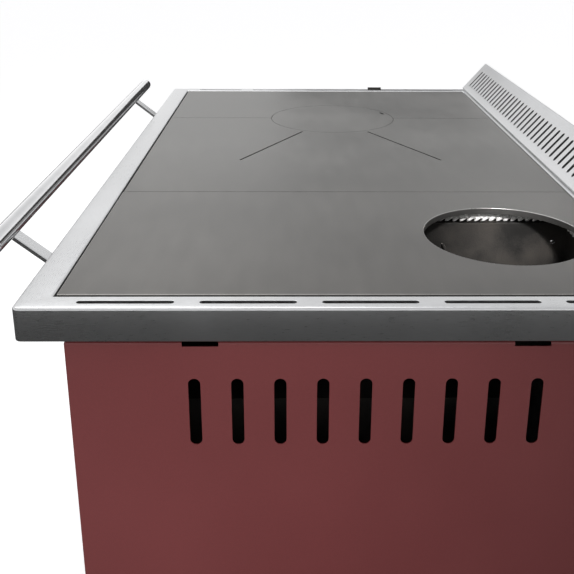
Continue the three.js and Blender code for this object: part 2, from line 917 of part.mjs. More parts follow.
function fireDoor() {
  const slab = glazedDoor(
    fireDoorLow, fireDoorHigh, fireMiddle, fireGlassZ, fireGlassWidth, fireGlassHeight,
  );
  const half = knuckleLength / 2;
  const barrels = fireHingeZ.map((z) => knuckle(
    [fireHingeX, hingeY, z - half],
    [fireHingeX, hingeY, z + half],
    [fireHingeX, hingeY, z - half],
    [fireHingeX + hingeLeaf, doorY + reach, z + half],
  ));
  const bores = fireHingeZ.map((z) => bar(
    pinRadius + pinGap,
    [fireHingeX, hingeY, z - hingeBoreReach],
    [fireHingeX, hingeY, z + hingeBoreReach],
    16,
  ));
  return cut(join(slab, ...barrels), ...bores);
}

// A fixed bracket with an upright pin: an ear above and below a knuckle of the fire door.
function fireHinge(z) {
  const half = knuckleLength / 2;
  const back = fasciaY - seatGap;
  const inner = fireLeft - hingeStrapGap;
  const outer = inner - hingeStrapWidth;
  const ends = [z - half - seatGap - hingeEar, z + half + seatGap];
  const top = ends[1] + hingeEar;
  const ears = ends.map((low) => join(
    bar(knuckleRadius, [fireHingeX, hingeY, low], [fireHingeX, hingeY, low + hingeEar], 14),
    block(
      [outer, hingeY, low],
      [fireHingeX, hingeY + knuckleRadius - hingeEarRelief, low + hingeEar],
    ),
  ));
  const strap = block([outer, hingeY, ends[0]], [inner, back, top]);
  const pin = bar(pinRadius, [fireHingeX, hingeY, ends[0]], [fireHingeX, hingeY, top], 16);
  return join(...ears, strap, pin);
}

function fireDoorRetainer() {
  const width = fireGlassWidth + 2 * glassMargin - 2 * seatGap;
  const height = fireGlassHeight + 2 * glassMargin - 2 * seatGap;
  const y = doorY + paneDepth + glassThickness + 2 * seatGap;
  return frontRing(
    [fireMiddle - width / 2, y, fireGlassZ - height / 2],
    [fireMiddle + width / 2, doorBackY, fireGlassZ + height / 2],
    glassMargin - reach,
  );
}

function fireHandle() {
  const x = fireRight - fireHandleInset;
  const y = doorY - seatGap;
  const [low, high] = [fireGlassZ - fireHandleReach, fireGlassZ + fireHandleReach];
  const gripY = y - barStandoff;
  return handle(
    [x, gripY, low - fireHandleEnd],
    [x, gripY, high + fireHandleEnd],
    [[x, y, low], [x, y, high]],
  );
}

// ---- ash drawer and air valve --------------------------------------------------------------

const ashLow = [fireLeft + runGap, doorY, ashBottom + runGap];
const ashHigh = [fireRight - runGap, doorY + drawerFrontThickness, ashTop - runGap];
const ashMiddleZ = (ashLow[2] + ashHigh[2]) / 2;
const valveX = fireMiddle + valveShift;
const panBottom = ashBottom + runGap + ashPanLift;

function valveWindows(fromY, toY) {
  const holes = [];
  for (let i = 0; i < valveHoles; i += 1) {
    const angle = (i / valveHoles) * 2 * Math.PI;
    const x = valveX + valveCircle * Math.cos(angle);
    const z = ashMiddleZ + valveCircle * Math.sin(angle);
    holes.push(bar(valveHoleRadius, [x, fromY, z], [x, toY, z], 10));
  }
  return holes;
}

function ashDrawerFront() {
  const arbor = [[valveX, doorY - reach, ashMiddleZ], [valveX, doorY + valveBore, ashMiddleZ]];
  return cut(
    block(ashLow, ashHigh),
    bar(pinRadius + pinGap, ...arbor, 16),
    ...valveWindows(doorY - reach, ashHigh[1] + reach),
  );
}

function airValve() {
  const front = doorY - seatGap - valveThickness;
  const disc = bar(valveRadius, [valveX, front, ashMiddleZ], [valveX, doorY - seatGap, ashMiddleZ], 32);
  const boss = bar(
    valveGripRadius,
    [valveX, front - valveGripHeight, ashMiddleZ],
    [valveX, front + reach, ashMiddleZ],
    16,
  );
  const arbor = bar(
    pinRadius, [valveX, front, ashMiddleZ], [valveX, doorY + valveArbor, ashMiddleZ], 16,
  );
  return join(cut(disc, ...valveWindows(front - reach, doorY)), boss, arbor);
}

function tray(low, high, wall) {
  return cut(
    block(low, high),
    block([low[0] + wall, low[1] + wall, low[2] + wall], [high[0] - wall, high[1] - wall, high[2] + 1]),
  );
}

function ashPan() {
  const y = ashHigh[1] + seatGap;
  const low = [fireMiddle - ashPanWidth / 2, y, panBottom];
  return tray(low, [low[0] + ashPanWidth, y + ashPanDepth, panBottom + ashPanHeight], drawerSheet);
}

function ashHandle() {
  return levelHandle(fireMiddle - ashHandleShift, ashMiddleZ, ashHandleReach, fireHandleEnd);
}

// ---- firebox -------------------------------------------------------------------------------

const fireboxLeft = fireMiddle - fireboxWidth / 2;
const fireboxRight = fireMiddle + fireboxWidth / 2;
const fireboxBackY = frontY + fireboxFront + fireboxDepth;
const casingLeft = fireboxLeft - brickThickness - seatGap;
const casingRight = fireboxRight + brickThickness + seatGap;
const casingBackY = fireboxBackY + brickThickness + seatGap;
const brickZ = fireboxFloor + floorSheet + seatGap;

// Steel box open at the top, with a front flange that the door closes on.
function fireboxCasing() {
  const top = fireboxFloor + casingHeight;
  const outer = block(
    [casingLeft - casingSheet, flangeY, fireboxFloor],
    [casingRight + casingSheet, casingBackY + casingSheet, top],
  );
  const inner = block(
    [casingLeft, flangeY + casingSheet, fireboxFloor + floorSheet],
    [casingRight, casingBackY, top + reach],
  );
  const flange = block(
    [fireLeft - flangeOverlap, flangeY, fireboxFloor],
    [fireRight + flangeOverlap, flangeY + casingSheet, openingTop + flangeOverlap],
  );
  const mouth = block(
    [fireMiddle - mouthWidth / 2, flangeY - reach, mouthBottom],
    [fireMiddle + mouthWidth / 2, flangeY + casingSheet + reach, mouthTop],
  );
  const ashHole = block(
    [fireboxLeft + ashHoleInset, frontY + fireboxFront, fireboxFloor - reach],
    [fireboxRight - ashHoleInset, fireboxBackY - ashHoleInset, fireboxFloor + floorSheet + reach],
  );
  const riddleHole = bar(
    riddleRadius + rodClear,
    [fireMiddle, flangeY - reach, riddleZ],
    [fireMiddle, flangeY + casingSheet + reach, riddleZ],
  );
  return cut(join(outer, flange), inner, mouth, ashHole, riddleHole);
}

function sideBrick(fromX, toX) {
  return block(
    [fromX, flangeY + casingSheet + seatGap, brickZ],
    [toX, fireboxBackY - seatGap, brickZ + brickHeight],
  );
}

function backBrick() {
  return block(
    [casingLeft + seatGap, fireboxBackY, brickZ],
    [casingRight - seatGap, casingBackY - seatGap, brickZ + brickHeight],
  );
}

const grateFrontY = frontY + fireboxFront + grateTravel + grateClear;

function grate() {
  const low = [fireboxLeft + fireboxBedInset, grateFrontY, grateZ];
  const high = [
    fireboxRight - fireboxBedInset, fireboxBackY - grateBackGap, grateZ + grateThickness,
  ];
  const middleY = (low[1] + high[1]) / 2;
  const pitch = (high[0] - low[0] - 2 * grateSideRim) / grateSlotCount;
  const length = high[1] - low[1] - 2 * grateEndRim;
  const slots = [];
  for (let i = 0; i < grateSlotCount; i += 1) {
    const x = fireMiddle + (i - (grateSlotCount - 1) / 2) * pitch;
    const hole = slot(length, grateSlotWidth, low[2] - reach, high[2] + reach, 1);
    slots.push(hole.rotate([0, 0, 90]).translate([x, middleY, 0]));
  }
  const socket = bar(
    riddleRadius + seatGap,
    [fireMiddle, low[1] - reach, riddleZ],
    [fireMiddle, low[1] + riddleSocket, riddleZ],
  );
  return cut(block(low, high), ...slots, socket);
}

function riddleRod() {
  const knobY = fasciaY - grateTravel / 2 - riddleKnobGap;
  const rod = bar(
    riddleRadius,
    [fireMiddle, knobY, riddleZ],
    [fireMiddle, grateFrontY + riddleSocket - seatGap, riddleZ],
  );
  const shoulder = riddleKnobRadius - knobChamfer;
  const outline = [
    [0, -riddleKnobLength], [shoulder, -riddleKnobLength],
    [riddleKnobRadius, knobChamfer - riddleKnobLength], [riddleKnobRadius, -knobChamfer],
    [shoulder, 0], [0, 0],
  ];
  return join(rod, turned(outline, [fireMiddle, knobY, riddleZ], [0, 1, 0], 20));
}

// ---- oven ----------------------------------------------------------------------------------

const ovenY = flangeY;

function ovenBox() {
  const cavity = [
    [ovenMiddle - ovenWidth / 2, ovenY - reach, ovenFloor],
    [ovenMiddle + ovenWidth / 2, ovenY + ovenDepth, ovenFloor + ovenHeight],
  ];
  const outer = block(
    [cavity[0][0] - ovenSheet, ovenY, cavity[0][2] - ovenSheet],
    [cavity[1][0] + ovenSheet, cavity[1][1] + ovenSheet, cavity[1][2] + ovenSheet],
  );
  const flange = block(
    [ovenLeft - flangeOverlap, ovenY, ashBottom - flangeOverlap / 2],
    [ovenRight + flangeOverlap, ovenY + ovenSheet, openingTop + flangeOverlap],
  );
  const half = ledgeWidth / 2;
  const ledgeTop = ovenFloor + rackHeight;
  const ledges = [-1, 1].map((side) => ovenMiddle + side * (ovenWidth / 2 - half)).map((x) => block(
    [x - half, ovenY + ledgeEndGap, ledgeTop - ledgeThickness],
    [x + half, ovenY + ovenDepth - ledgeEndGap, ledgeTop],
  ));
  return join(cut(join(outer, flange), block(...cavity)), ...ledges);
}

function ovenRack() {
  const z = ovenFloor + rackHeight + seatGap + rackWire;
  const half = ovenWidth / 2 - rackSideGap;
  const [front, back] = [ovenY + rackEndGap, ovenY + ovenDepth - rackEndGap];
  const [left, right] = [ovenMiddle - half, ovenMiddle + half];
  const wires = [
    bar(rackWire, [left, front, z], [left, back, z], 8),
    bar(rackWire, [right, front, z], [right, back, z], 8),
    bar(rackWire, [left, front, z], [right, front, z], 8),
    bar(rackWire, [left, back, z], [right, back, z], 8),
  ];
  for (let i = 1; i <= rackBars; i += 1) {
    const x = left + (i / (rackBars + 1)) * (right - left);
    wires.push(bar(rackBar, [x, front, z], [x, back, z], 6));
  }
  return join(...wires);
}

const ovenDoorLow = [ovenLeft + runGap, doorY, ashBottom + runGap];
const ovenDoorHigh = [ovenRight - runGap, doorBackY, openingTop - runGap];
const ovenGlassZ = ovenDoorLow[2] + ovenGlassRise;
const ovenHingeZ = ashBottom + runGap + hingeInward;
const ovenHingeX = [ovenDoorLow[0] + hingeInset, ovenDoorHigh[0] - hingeInset];
const gaugeCup = gaugeRadius - gaugeRim;
const gaugeTube = gaugeCup - gaugeRim;

function ovenDoor() {
  const slab = glazedDoor(
    ovenDoorLow, ovenDoorHigh, ovenMiddle, ovenGlassZ, ovenGlassWidth, ovenGlassHeight,
  );
  const half = knuckleLength / 2;
  const barrels = ovenHingeX.map((x) => knuckle(
    [x - half, hingeY, ovenHingeZ],
    [x + half, hingeY, ovenHingeZ],
    [x - half, hingeY, ovenHingeZ],
    [x + half, doorY + reach, ovenHingeZ + hingeLeaf],
  ));
  const bores = ovenHingeX.map((x) => bar(
    pinRadius + pinGap,
    [x - hingeBoreReach, hingeY, ovenHingeZ],
    [x + hingeBoreReach, hingeY, ovenHingeZ],
    16,
  ));
  const gaugeBore = bar(
    gaugeTube + seatGap,
    [ovenMiddle, doorY - reach, gaugeZ],
    [ovenMiddle, doorBackY + reach, gaugeZ],
    24,
  );
  const boss = bar(
    gaugeRadius,
    [ovenMiddle, doorY + doorSkin - reach, gaugeZ],
    [ovenMiddle, doorY + gaugeBossDepth, gaugeZ],
    24,
  );
  return cut(join(slab, boss, ...barrels), ...bores, gaugeBore);
}

// A fixed bracket with a level pin: an ear on each side of a knuckle of the oven door.
function ovenHinge(x) {
  const half = knuckleLength / 2;
  const back = fasciaY - seatGap;
  const low = drawerTop + hingeInward;
  const ends = [x - half - seatGap - hingeEar, x + half + seatGap];
  const right = ends[1] + hingeEar;
  const ears = ends.map((left) => join(
    bar(knuckleRadius, [left, hingeY, ovenHingeZ], [left + hingeEar, hingeY, ovenHingeZ], 14),
    block(
      [left, hingeY, low],
      [left + hingeEar, hingeY + knuckleRadius - hingeEarRelief, ovenHingeZ],
    ),
  ));
  const strap = block([ends[0], hingeY, low], [right, back, ashBottom - hingeStrapGap]);
  const pin = bar(pinRadius, [ends[0], hingeY, ovenHingeZ], [right, hingeY, ovenHingeZ], 16);
  return join(...ears, strap, pin);
}

function ovenHandle() {
  return levelHandle(ovenMiddle, gaugeZ - gaugeRadius - ovenHandleDrop, ovenHandleReach, ovenHandleEnd);
}

function gaugeCase() {
  const outline = [
    [0, -gaugeStem], [gaugeTube, -gaugeStem], [gaugeTube, seatGap], [gaugeRadius, seatGap],
    [gaugeRadius, gaugeDepth - gaugeRim / 2], [gaugeRadius - gaugeRim / 2, gaugeDepth],
    [gaugeCup, gaugeDepth], [gaugeCup, gaugeFloor], [gaugeSocketRadius, gaugeFloor],
    [gaugeSocketRadius, gaugeSocketDepth], [0, gaugeSocketDepth],
  ];
  return turned(outline, [ovenMiddle, doorY, gaugeZ], [0, -1, 0], 24);
}

function gaugeNeedle() {
  const at = (before) => [ovenMiddle, doorY - before, gaugeZ];
  const back = doorY - gaugeHubBack - needleLift;
  return join(
    bar(gaugeHubRadius, at(gaugeHubFront), at(gaugeHubBack), 12),
    bar(gaugePivotRadius, at(gaugeHubBack), at(gaugePivotEnd), 12),
    block(
      [ovenMiddle - needleHalfWidth, back - needleSheet, gaugeZ - needleTail],
      [ovenMiddle + needleHalfWidth, back, gaugeZ + needleLength],
    ),
  );
}

// ---- flue box and damper -------------------------------------------------------------------

const flueBackY = flueY + flueBoxDepth / 2 - flueBoxShift;
const flueTop = carrierTop - ropeDiameter - 2 * seatGap;
const flueLow = [
  flueX - flueBoxWidth / 2, flueBackY - flueBoxDepth, flueTop - flueBoxHeight,
];
const flueHigh = [flueX + flueBoxWidth / 2, flueBackY, flueTop];

function flueBox() {
  const shell = cut(
    block(
      [flueLow[0] - ovenSheet, flueLow[1] - ovenSheet, flueLow[2] - ovenSheet],
      [flueHigh[0] + ovenSheet, flueHigh[1] + ovenSheet, flueHigh[2]],
    ),
    block(flueLow, [flueHigh[0], flueHigh[1], flueHigh[2] + reach]),
  );
  const collar = cut(
    block(
      [flueLow[0] - flueFlange, flueLow[1] - flueFlange, flueTop - flueCollar],
      [flueHigh[0] + flueFlange, flueHigh[1] + ovenSheet, flueTop],
    ),
    block([flueLow[0], flueLow[1], 0], [flueHigh[0], flueHigh[1], topHeight]),
  );
  const bypass = block(
    [flueX - damperHoleSize, flueLow[1] - ovenSheet - reach, damperZ - damperHoleSize / 2],
    [flueX + damperHoleSize, flueLow[1] + reach, damperZ + damperHoleSize / 2],
  );
  const duct = block(
    [flueX - ductWidth / 2, flueHigh[1] - ductFront, flueLow[2] - ovenSheet - reach],
    [flueX + ductWidth / 2, flueHigh[1] - ductBack, flueLow[2] + reach],
  );
  return cut(join(shell, collar), bypass, duct);
}

function flueRope() {
  const z = flueTop + seatGap;
  return ring(
    [flueLow[0] - ropeDiameter, flueLow[1] - ropeDiameter, z],
    [flueHigh[0] + ropeDiameter, flueHigh[1] - reach, z + ropeDiameter],
    ropeDiameter - reach,
    ropeDiameter - reach,
  );
}

function damper() {
  const plateY = flueLow[1] + damperTravel + damperEndGap;
  const [wide, tall] = [damperPlateSize, damperPlateSize / 2];
  const flap = block(
    [flueX - wide, plateY, damperZ - tall],
    [flueX + wide, plateY + damperSheet, damperZ + tall],
  );
  const knobY = fasciaY - damperKnobGap;
  const rod = bar(
    damperRodRadius, [flueX, knobY, damperZ], [flueX, plateY + damperRodPast, damperZ], 12,
  );
  return join(flap, rod);
}

function knob(x, y, z) {
  const outline = [
    [0, -knobLength], [knobRadius - knobChamfer, -knobLength], [knobRadius, knobChamfer - knobLength],
    [knobRadius, -knobNeck], [knobNeck, 0], [0, 0],
  ];
  return turned(outline, [x, y, z], [0, 1, 0], 24);
}

// ---- storage drawers -----------------------------------------------------------------------

function drawerBox(left, right) {
  const front = block(
    [left + runGap, doorY, drawerBottom + runGap],
    [right - runGap, doorY + drawerFrontThickness, drawerTop - runGap],
  );
  const y = doorY + drawerFrontThickness;
  const body = tray(
    [left + drawerSide, y - drawerSheet, drawerBottom + drawerLift],
    [right - drawerSide, y + drawerDepth, drawerTop - drawerTopGap],
    drawerSheet,
  );
  return join(front, body);
}

function drawerHandle(left, right) {
  return levelHandle((left + right) / 2, drawerTop - drawerHandleDrop, drawerHandleReach, barEnd);
}

// A pair of runners welded to the plate under them, for a box between left and right.
function runners(left, right, low, high, length) {
  const y = fasciaY + fasciaSheet + runnerFrontGap;
  return [left + runnerWidth, right - runnerWidth].map((x) => block(
    [x - runnerWidth / 2, y, low],
    [x + runnerWidth / 2, y + length, high],
  ));
}

function basePan() {
  const high = drawerBottom + drawerLift - seatGap;
  const bays = [[fireLeft, fireRight], [ovenLeft, ovenRight]];
  const pairs = bays.flatMap(([left, right]) => runners(
    left + drawerSide, right - drawerSide, baseZ, high, drawerDepth - runnerBackGap,
  ));
  return join(floorPlate(baseZ), ...pairs);
}

function midShelf() {
  const half = ashPanWidth / 2;
  const pair = runners(
    fireMiddle - half, fireMiddle + half, shelfZ, panBottom - seatGap, ashPanDepth - ashRunnerBackGap,
  );
  return join(floorPlate(shelfZ), ...pair);
}

// ---- the whole cooker ----------------------------------------------------------------------

add('top_frame', topFrame(), brushed);
add('plate_carrier', plateCarrier(), darkSteel);
hotplates();
add('round_lid', roundLid(), castIron);
add('rear_riser', rearRiser(), brushed);
add('riser_back', riserBackPlate(), darkSteel);
add('edge_clip', edgeClip(), darkSteel);
add('rail_tube', railTube(), polished);
add('rail_cap_left', railCap(railLeft, -1), polished);
add('rail_cap_right', railCap(railRight, 1), polished);
add('rail_post_left', railPost(leftX + railPostLeftInset), brushed);
add('rail_post_right', railPost(rightX - railPostRightInset), brushed);

add('side_panel_right', sidePanel(), redEnamel);
add('side_panel_left', sidePanel().mirror([1, 0, 0]), redEnamel);
add('back_panel', backPanel(), zinc);
add('front_fascia', frontFascia(), blackEnamel);
add('base_pan', basePan(), zinc);
add('mid_shelf', midShelf(), zinc);
add('plinth', plinth(), blackEnamel);
for (const [side, x] of [['left', -panelX + footInset], ['right', panelX - footInset]]) {
  const rows = [['front', panelFrontY + footInset], ['rear', panelBackY - footInset]];
  for (const [row, y] of rows) {
    add(`foot_${row}_${side}`, foot(x, y), rubber);
  }
}

add('firebox_casing', fireboxCasing(), darkSteel);
add('firebrick_left', sideBrick(casingLeft + seatGap, fireboxLeft), brick);
add('firebrick_right', sideBrick(fireboxRight, casingRight - seatGap), brick);
add('firebrick_back', backBrick(), brick);
add('grate', grate(), darkSteel);
add('riddle_rod', riddleRod(), brushed);
add('fire_door', fireDoor(), redEnamel);
add(
  'fire_door_glass',
  glassPane(fireDoorLow, fireMiddle, fireGlassZ, fireGlassWidth, fireGlassHeight),
  glass,
);
add('fire_door_retainer', fireDoorRetainer(), darkSteel);
add('fire_door_seal', doorSeal(fireDoorLow, fireDoorHigh), ropeGrey);
add('fire_door_handle', fireHandle(), polished);
add('fire_door_hinge_lower', fireHinge(fireHingeZ[0]), darkSteel);
add('fire_door_hinge_upper', fireHinge(fireHingeZ[1]), darkSteel);
add('ash_drawer_front', ashDrawerFront(), redEnamel);
add('ash_pan', ashPan(), zinc);
add('ash_drawer_handle', ashHandle(), polished);
add('air_valve', airValve(), darkSteel);

add('oven_box', ovenBox(), darkSteel);
add('oven_rack', ovenRack(), polished);
add('oven_door', ovenDoor(), redEnamel);
add(
  'oven_door_glass',
  glassPane(ovenDoorLow, ovenMiddle, ovenGlassZ, ovenGlassWidth, ovenGlassHeight),
  glass,
);
add('oven_door_seal', doorSeal(ovenDoorLow, ovenDoorHigh), ropeGrey);
add('oven_door_handle', ovenHandle(), polished);
add('oven_door_hinge_left', ovenHinge(ovenHingeX[0]), darkSteel);
add('oven_door_hinge_right', ovenHinge(ovenHingeX[1]), darkSteel);
add('thermometer_case', gaugeCase(), brushed);
add('thermometer_needle', gaugeNeedle(), blackKnob);

add('flue_box', flueBox(), darkSteel);
add('flue_rope_seal', flueRope(), ropeGrey);
add('damper', damper(), darkSteel);
add('damper_knob', knob(flueX, fasciaY - damperKnobGap, damperZ), blackKnob);

add('wood_drawer', drawerBox(fireLeft, fireRight), redEnamel);
add('wood_drawer_handle', drawerHandle(fireLeft, fireRight), polished);
add('tool_drawer', drawerBox(ovenLeft, ovenRight), redEnamel);
add('tool_drawer_handle', drawerHandle(ovenLeft, ovenRight), polished);

export default cooker;
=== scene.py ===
"""Finished surfaces of a solid-fuel range cooker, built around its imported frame.

The cooker has a brushed stainless top frame with ground iron hotplates, a slotted riser at the
rear, a polished towel rail along the front, and a dark red enamelled body with a firebox, an
oven, an ash drawer and two storage drawers. Metres, +Z up, the front faces -Y.
"""

import json
import logging
import math
from dataclasses import dataclass, field
from enum import Enum
from typing import Iterable, Sequence

import bmesh
import bpy
from mathutils import Matrix, Vector


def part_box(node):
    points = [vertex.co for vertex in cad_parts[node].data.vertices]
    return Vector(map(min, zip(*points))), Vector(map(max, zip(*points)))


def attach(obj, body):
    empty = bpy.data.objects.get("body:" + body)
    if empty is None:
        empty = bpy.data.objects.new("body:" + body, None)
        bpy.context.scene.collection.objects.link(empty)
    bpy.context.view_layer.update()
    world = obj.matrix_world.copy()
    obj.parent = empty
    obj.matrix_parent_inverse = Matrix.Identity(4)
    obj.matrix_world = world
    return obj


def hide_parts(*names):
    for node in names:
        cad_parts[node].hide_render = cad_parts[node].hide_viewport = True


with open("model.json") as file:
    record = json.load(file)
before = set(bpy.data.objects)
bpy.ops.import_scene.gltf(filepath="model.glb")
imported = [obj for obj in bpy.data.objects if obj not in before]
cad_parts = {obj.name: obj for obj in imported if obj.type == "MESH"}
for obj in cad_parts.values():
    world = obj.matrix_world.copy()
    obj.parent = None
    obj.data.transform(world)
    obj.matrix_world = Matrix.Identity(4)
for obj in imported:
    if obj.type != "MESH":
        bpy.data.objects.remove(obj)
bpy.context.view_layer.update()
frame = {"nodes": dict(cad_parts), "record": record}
RECORD = frame["record"]
BODY_OF = {node: body for body, nodes in RECORD["behaviour"]["bodies"].items() for node in nodes}
SLOT_OF = {row["node"]: row["material_slot"] for row in RECORD["subparts"]}
PIVOT_OF = {row["name"]: row.get("pos_m") for row in RECORD["behaviour"]["joints"]}

log = logging.getLogger("range_cooker")

Flat = tuple[float, float]
Point = tuple[float, float, float]
Ring = list[Point]
Material = bpy.types.Material
Piece = bpy.types.Object
Socket = bpy.types.NodeSocket

USUAL: Flat = (0.35, 0.65)
"""The span that holds most of a noise's values."""


# ---- shader nodes ------------------------------------------------------------------------


class Axis(Enum):
    """An axis of the shared frame, by its index."""

    X = 0
    Y = 1
    Z = 2


class ShaderWriter:
    """Writes one material's node tree around a Principled shader."""

    def __init__(self, name: str) -> None:
        """Starts a material.

        Args:
            name: the material's name.
        """
        self.material = bpy.data.materials.new(name)
        self.material.use_nodes = True
        self.nodes = self.material.node_tree.nodes
        self.links = self.material.node_tree.links
        self.shader = self.nodes["Principled BSDF"]
        self.place = self.nodes.new("ShaderNodeTexCoord").outputs["Object"]

    def set(self, **values: object) -> None:
        """Sets constants on the shader's own sockets, named with _ for a space."""
        for key, value in values.items():
            self.shader.inputs[key.replace("_", " ")].default_value = value

    def feed(self, socket: str, output: Socket) -> None:
        """Links an output to one of the shader's sockets."""
        self.links.new(output, self.shader.inputs[socket])

    def stretched(self, scale: Point) -> Socket:
        """Object coordinates scaled by an amount along each axis."""
        node = self.nodes.new("ShaderNodeMapping")
        node.inputs["Scale"].default_value = scale
        self.links.new(self.place, node.inputs["Vector"])
        return node.outputs["Vector"]

    def noise(self, scale: float, detail: float, place: Socket | None = None) -> Socket:
        """A noise texture's factor.

        Args:
            scale: blotches per metre, or per unit of the given place.
            detail: octaves.
            place: coordinates to use in place of Object coordinates.

        Returns:
            The factor socket.
        """
        node = self.nodes.new("ShaderNodeTexNoise")
        node.inputs["Scale"].default_value = scale
        node.inputs["Detail"].default_value = detail
        self.links.new(place or self.place, node.inputs["Vector"])
        return node.outputs["Fac"]

    def cells(self, scale: float) -> Socket:
        """The distance to the nearest cell point of a Voronoi texture."""
        node = self.nodes.new("ShaderNodeTexVoronoi")
        node.inputs["Scale"].default_value = scale
        self.links.new(self.place, node.inputs["Vector"])
        return node.outputs["Distance"]

    def spread(self, factor: Socket, low: float, high: float, span: Flat) -> Socket:
        """Maps a factor from a span of its values to low and high, with its ends held."""
        node = self.nodes.new("ShaderNodeMapRange")
        node.inputs["From Min"].default_value = span[0]
        node.inputs["From Max"].default_value = span[1]
        node.inputs["To Min"].default_value = low
        node.inputs["To Max"].default_value = high
        self.links.new(factor, node.inputs["Value"])
        return node.outputs["Result"]

    def math(self, operation: str, first: Socket | float, second: Socket | float = 0.0) -> Socket:
        """One Math node on two sockets or numbers."""
        node = self.nodes.new("ShaderNodeMath")
        node.operation = operation
        for socket, value in zip(node.inputs, (first, second)):
            if isinstance(value, Socket):
                self.links.new(value, socket)
            else:
                socket.default_value = value
        return node.outputs["Value"]

    def axis(self, which: Axis) -> Socket:
        """One of the Object coordinates."""
        node = self.nodes.new("ShaderNodeSeparateXYZ")
        self.links.new(self.place, node.inputs["Vector"])
        return node.outputs[which.value]

    def mixed(self, factor: Socket, first: Socket | Point, second: Point, way: str) -> Socket:
        """Mixes a colour with another by a factor.

        Args:
            factor: how far the mix goes from the first to the second.
            first: a colour or a socket that gives one.
            second: the other colour.
            way: the blend type.

        Returns:
            The mixed colour's socket.
        """
        node = self.nodes.new("ShaderNodeMix")
        node.data_type = "RGBA"
        node.blend_type = way
        self.links.new(factor, node.inputs[0])
        ends = {socket.name: socket for socket in node.inputs if socket.type == "RGBA"}
        if isinstance(first, Socket):
            self.links.new(first, ends["A"])
        else:
            ends["A"].default_value = (*first, 1.0)
        ends["B"].default_value = (*second, 1.0)
        return next(socket for socket in node.outputs if socket.type == "RGBA")

    def choose(self, factor: Socket, off: Socket, on: Socket) -> Socket:
        """Mixes two numbers by a factor."""
        node = self.nodes.new("ShaderNodeMix")
        self.links.new(factor, node.inputs[0])
        self.links.new(off, node.inputs[2])
        self.links.new(on, node.inputs[3])
        return node.outputs[0]

    def bump(self, height: Socket, strength: float, distance: float) -> None:
        """Feeds the shader's normal from a height."""
        node = self.nodes.new("ShaderNodeBump")
        node.inputs["Strength"].default_value = strength
        node.inputs["Distance"].default_value = distance
        self.links.new(height, node.inputs["Height"])
        self.feed("Normal", node.outputs["Normal"])


# ---- finishes ----------------------------------------------------------------------------


@dataclass(frozen=True)
class Noise:
    """One noise in a finish.

    Attributes:
        scale: blotches per metre.
        detail: octaves.
        share: how much of the finish's tone it makes.
        stretch: a scale for each axis, on a noise that is drawn out.
        relief: the strength and the height of the bumps it raises.
    """

    scale: float
    detail: float = 2.0
    share: float = 1.0
    stretch: Point | None = None
    relief: Flat | None = None

    def factor(self, shader: ShaderWriter) -> Socket:
        """The noise's value over the surface."""
        place = shader.stretched(self.stretch) if self.stretch else None
        return shader.noise(self.scale, self.detail, place)


class Spangle(Noise):
    """The crystals of galvanised sheet."""

    def factor(self, shader: ShaderWriter) -> Socket:
        """The distance from each crystal's middle."""
        return shader.cells(self.scale)


@dataclass(frozen=True)
class Brushing(Noise):
    """Fine streaks along the brushing, which turns with the sides of a mitred frame.

    Attributes:
        way: the axis that the streaks follow.
        along: the scale along the streaks.
        mitre: the frame's half width, the Y of its middle and its half depth.
    """

    way: Axis = Axis.X
    along: float = 90.0
    mitre: Point | None = None

    def streaks(self, shader: ShaderWriter, way: Axis) -> Socket:
        """Noise drawn out along an axis."""
        scale = [self.scale] * 3
        scale[way.value] = self.along
        return shader.noise(1.0, self.detail, shader.stretched(tuple(scale)))

    def factor(self, shader: ShaderWriter) -> Socket:
        """The streaks' value over the surface."""
        grain = self.streaks(shader, self.way)
        if not self.mitre:
            return grain
        half_width, centre, half_depth = self.mitre
        from_side = shader.math("SUBTRACT", half_width, shader.math("ABSOLUTE", shader.axis(Axis.X)))
        off_centre = shader.math("SUBTRACT", shader.axis(Axis.Y), centre)
        from_front = shader.math("SUBTRACT", half_depth, shader.math("ABSOLUTE", off_centre))
        on_side = shader.math("LESS_THAN", from_side, from_front)
        return shader.choose(on_side, grain, self.streaks(shader, Axis.Y))


@dataclass(frozen=True)
class PaintedShade:
    """A painted shade: a darkening tint that comes in over a span of an axis, where the light falls off."""

    axis: Axis
    span: Flat
    tint: Point


@dataclass(frozen=True)
class Finish:
    """A surface whose colour and roughness follow one blend of noises.

    Attributes:
        name: the material's name.
        shades: the colours at the low and the high end of the blend, if it has two.
        roughness: the roughness at both ends of the blend, if it changes.
        noises: the noises that make the blend and the bumps.
        painted_shade: a painted shade over the colour, darker along one axis.
        colour_span: the blend's values that the shades lie between.
        rough_span: the blend's values that the roughness lies between.
        constants: the shader's constant inputs.
    """

    name: str
    shades: tuple[Point, Point] | None
    roughness: Flat | None
    noises: tuple[Noise, ...]
    painted_shade: PaintedShade | None = None
    colour_span: Flat = USUAL
    rough_span: Flat = USUAL
    constants: dict[str, object] = field(default_factory=dict)

    def tone(self, shader: ShaderWriter) -> Socket:
        """Adds up the noises by their shares, and raises their bumps."""
        total = None
        for noise in self.noises:
            factor = noise.factor(shader)
            if noise.relief:
                shader.bump(factor, *noise.relief)
            if noise.share:
                part = shader.math("MULTIPLY", factor, noise.share)
                total = shader.math("ADD", total, part) if total else part
        return total

    def material(self) -> Material:
        """The finish as a material."""
        shader = ShaderWriter(self.name)
        tone = self.tone(shader)
        if self.shades:
            colour = shader.mixed(shader.spread(tone, 0, 1, self.colour_span), *self.shades, "MIX")
            # Painted shade: the tint multiplies the colour more and more along one axis.
            if self.painted_shade:
                reach = shader.spread(shader.axis(self.painted_shade.axis), 0, 1, self.painted_shade.span)
                colour = shader.mixed(reach, colour, self.painted_shade.tint, "MULTIPLY")
            shader.feed("Base Color", colour)
        if self.roughness:
            shader.feed("Roughness", shader.spread(tone, *self.roughness, self.rough_span))
        shader.set(**self.constants)
        return shader.material


def either_side(colour: Point, darker: float, lighter: float) -> tuple[Point, Point]:
    """A darker and a lighter shade of a colour."""
    return tuple(tuple(min(1.0, by * value) for value in colour) for by in (darker, lighter))


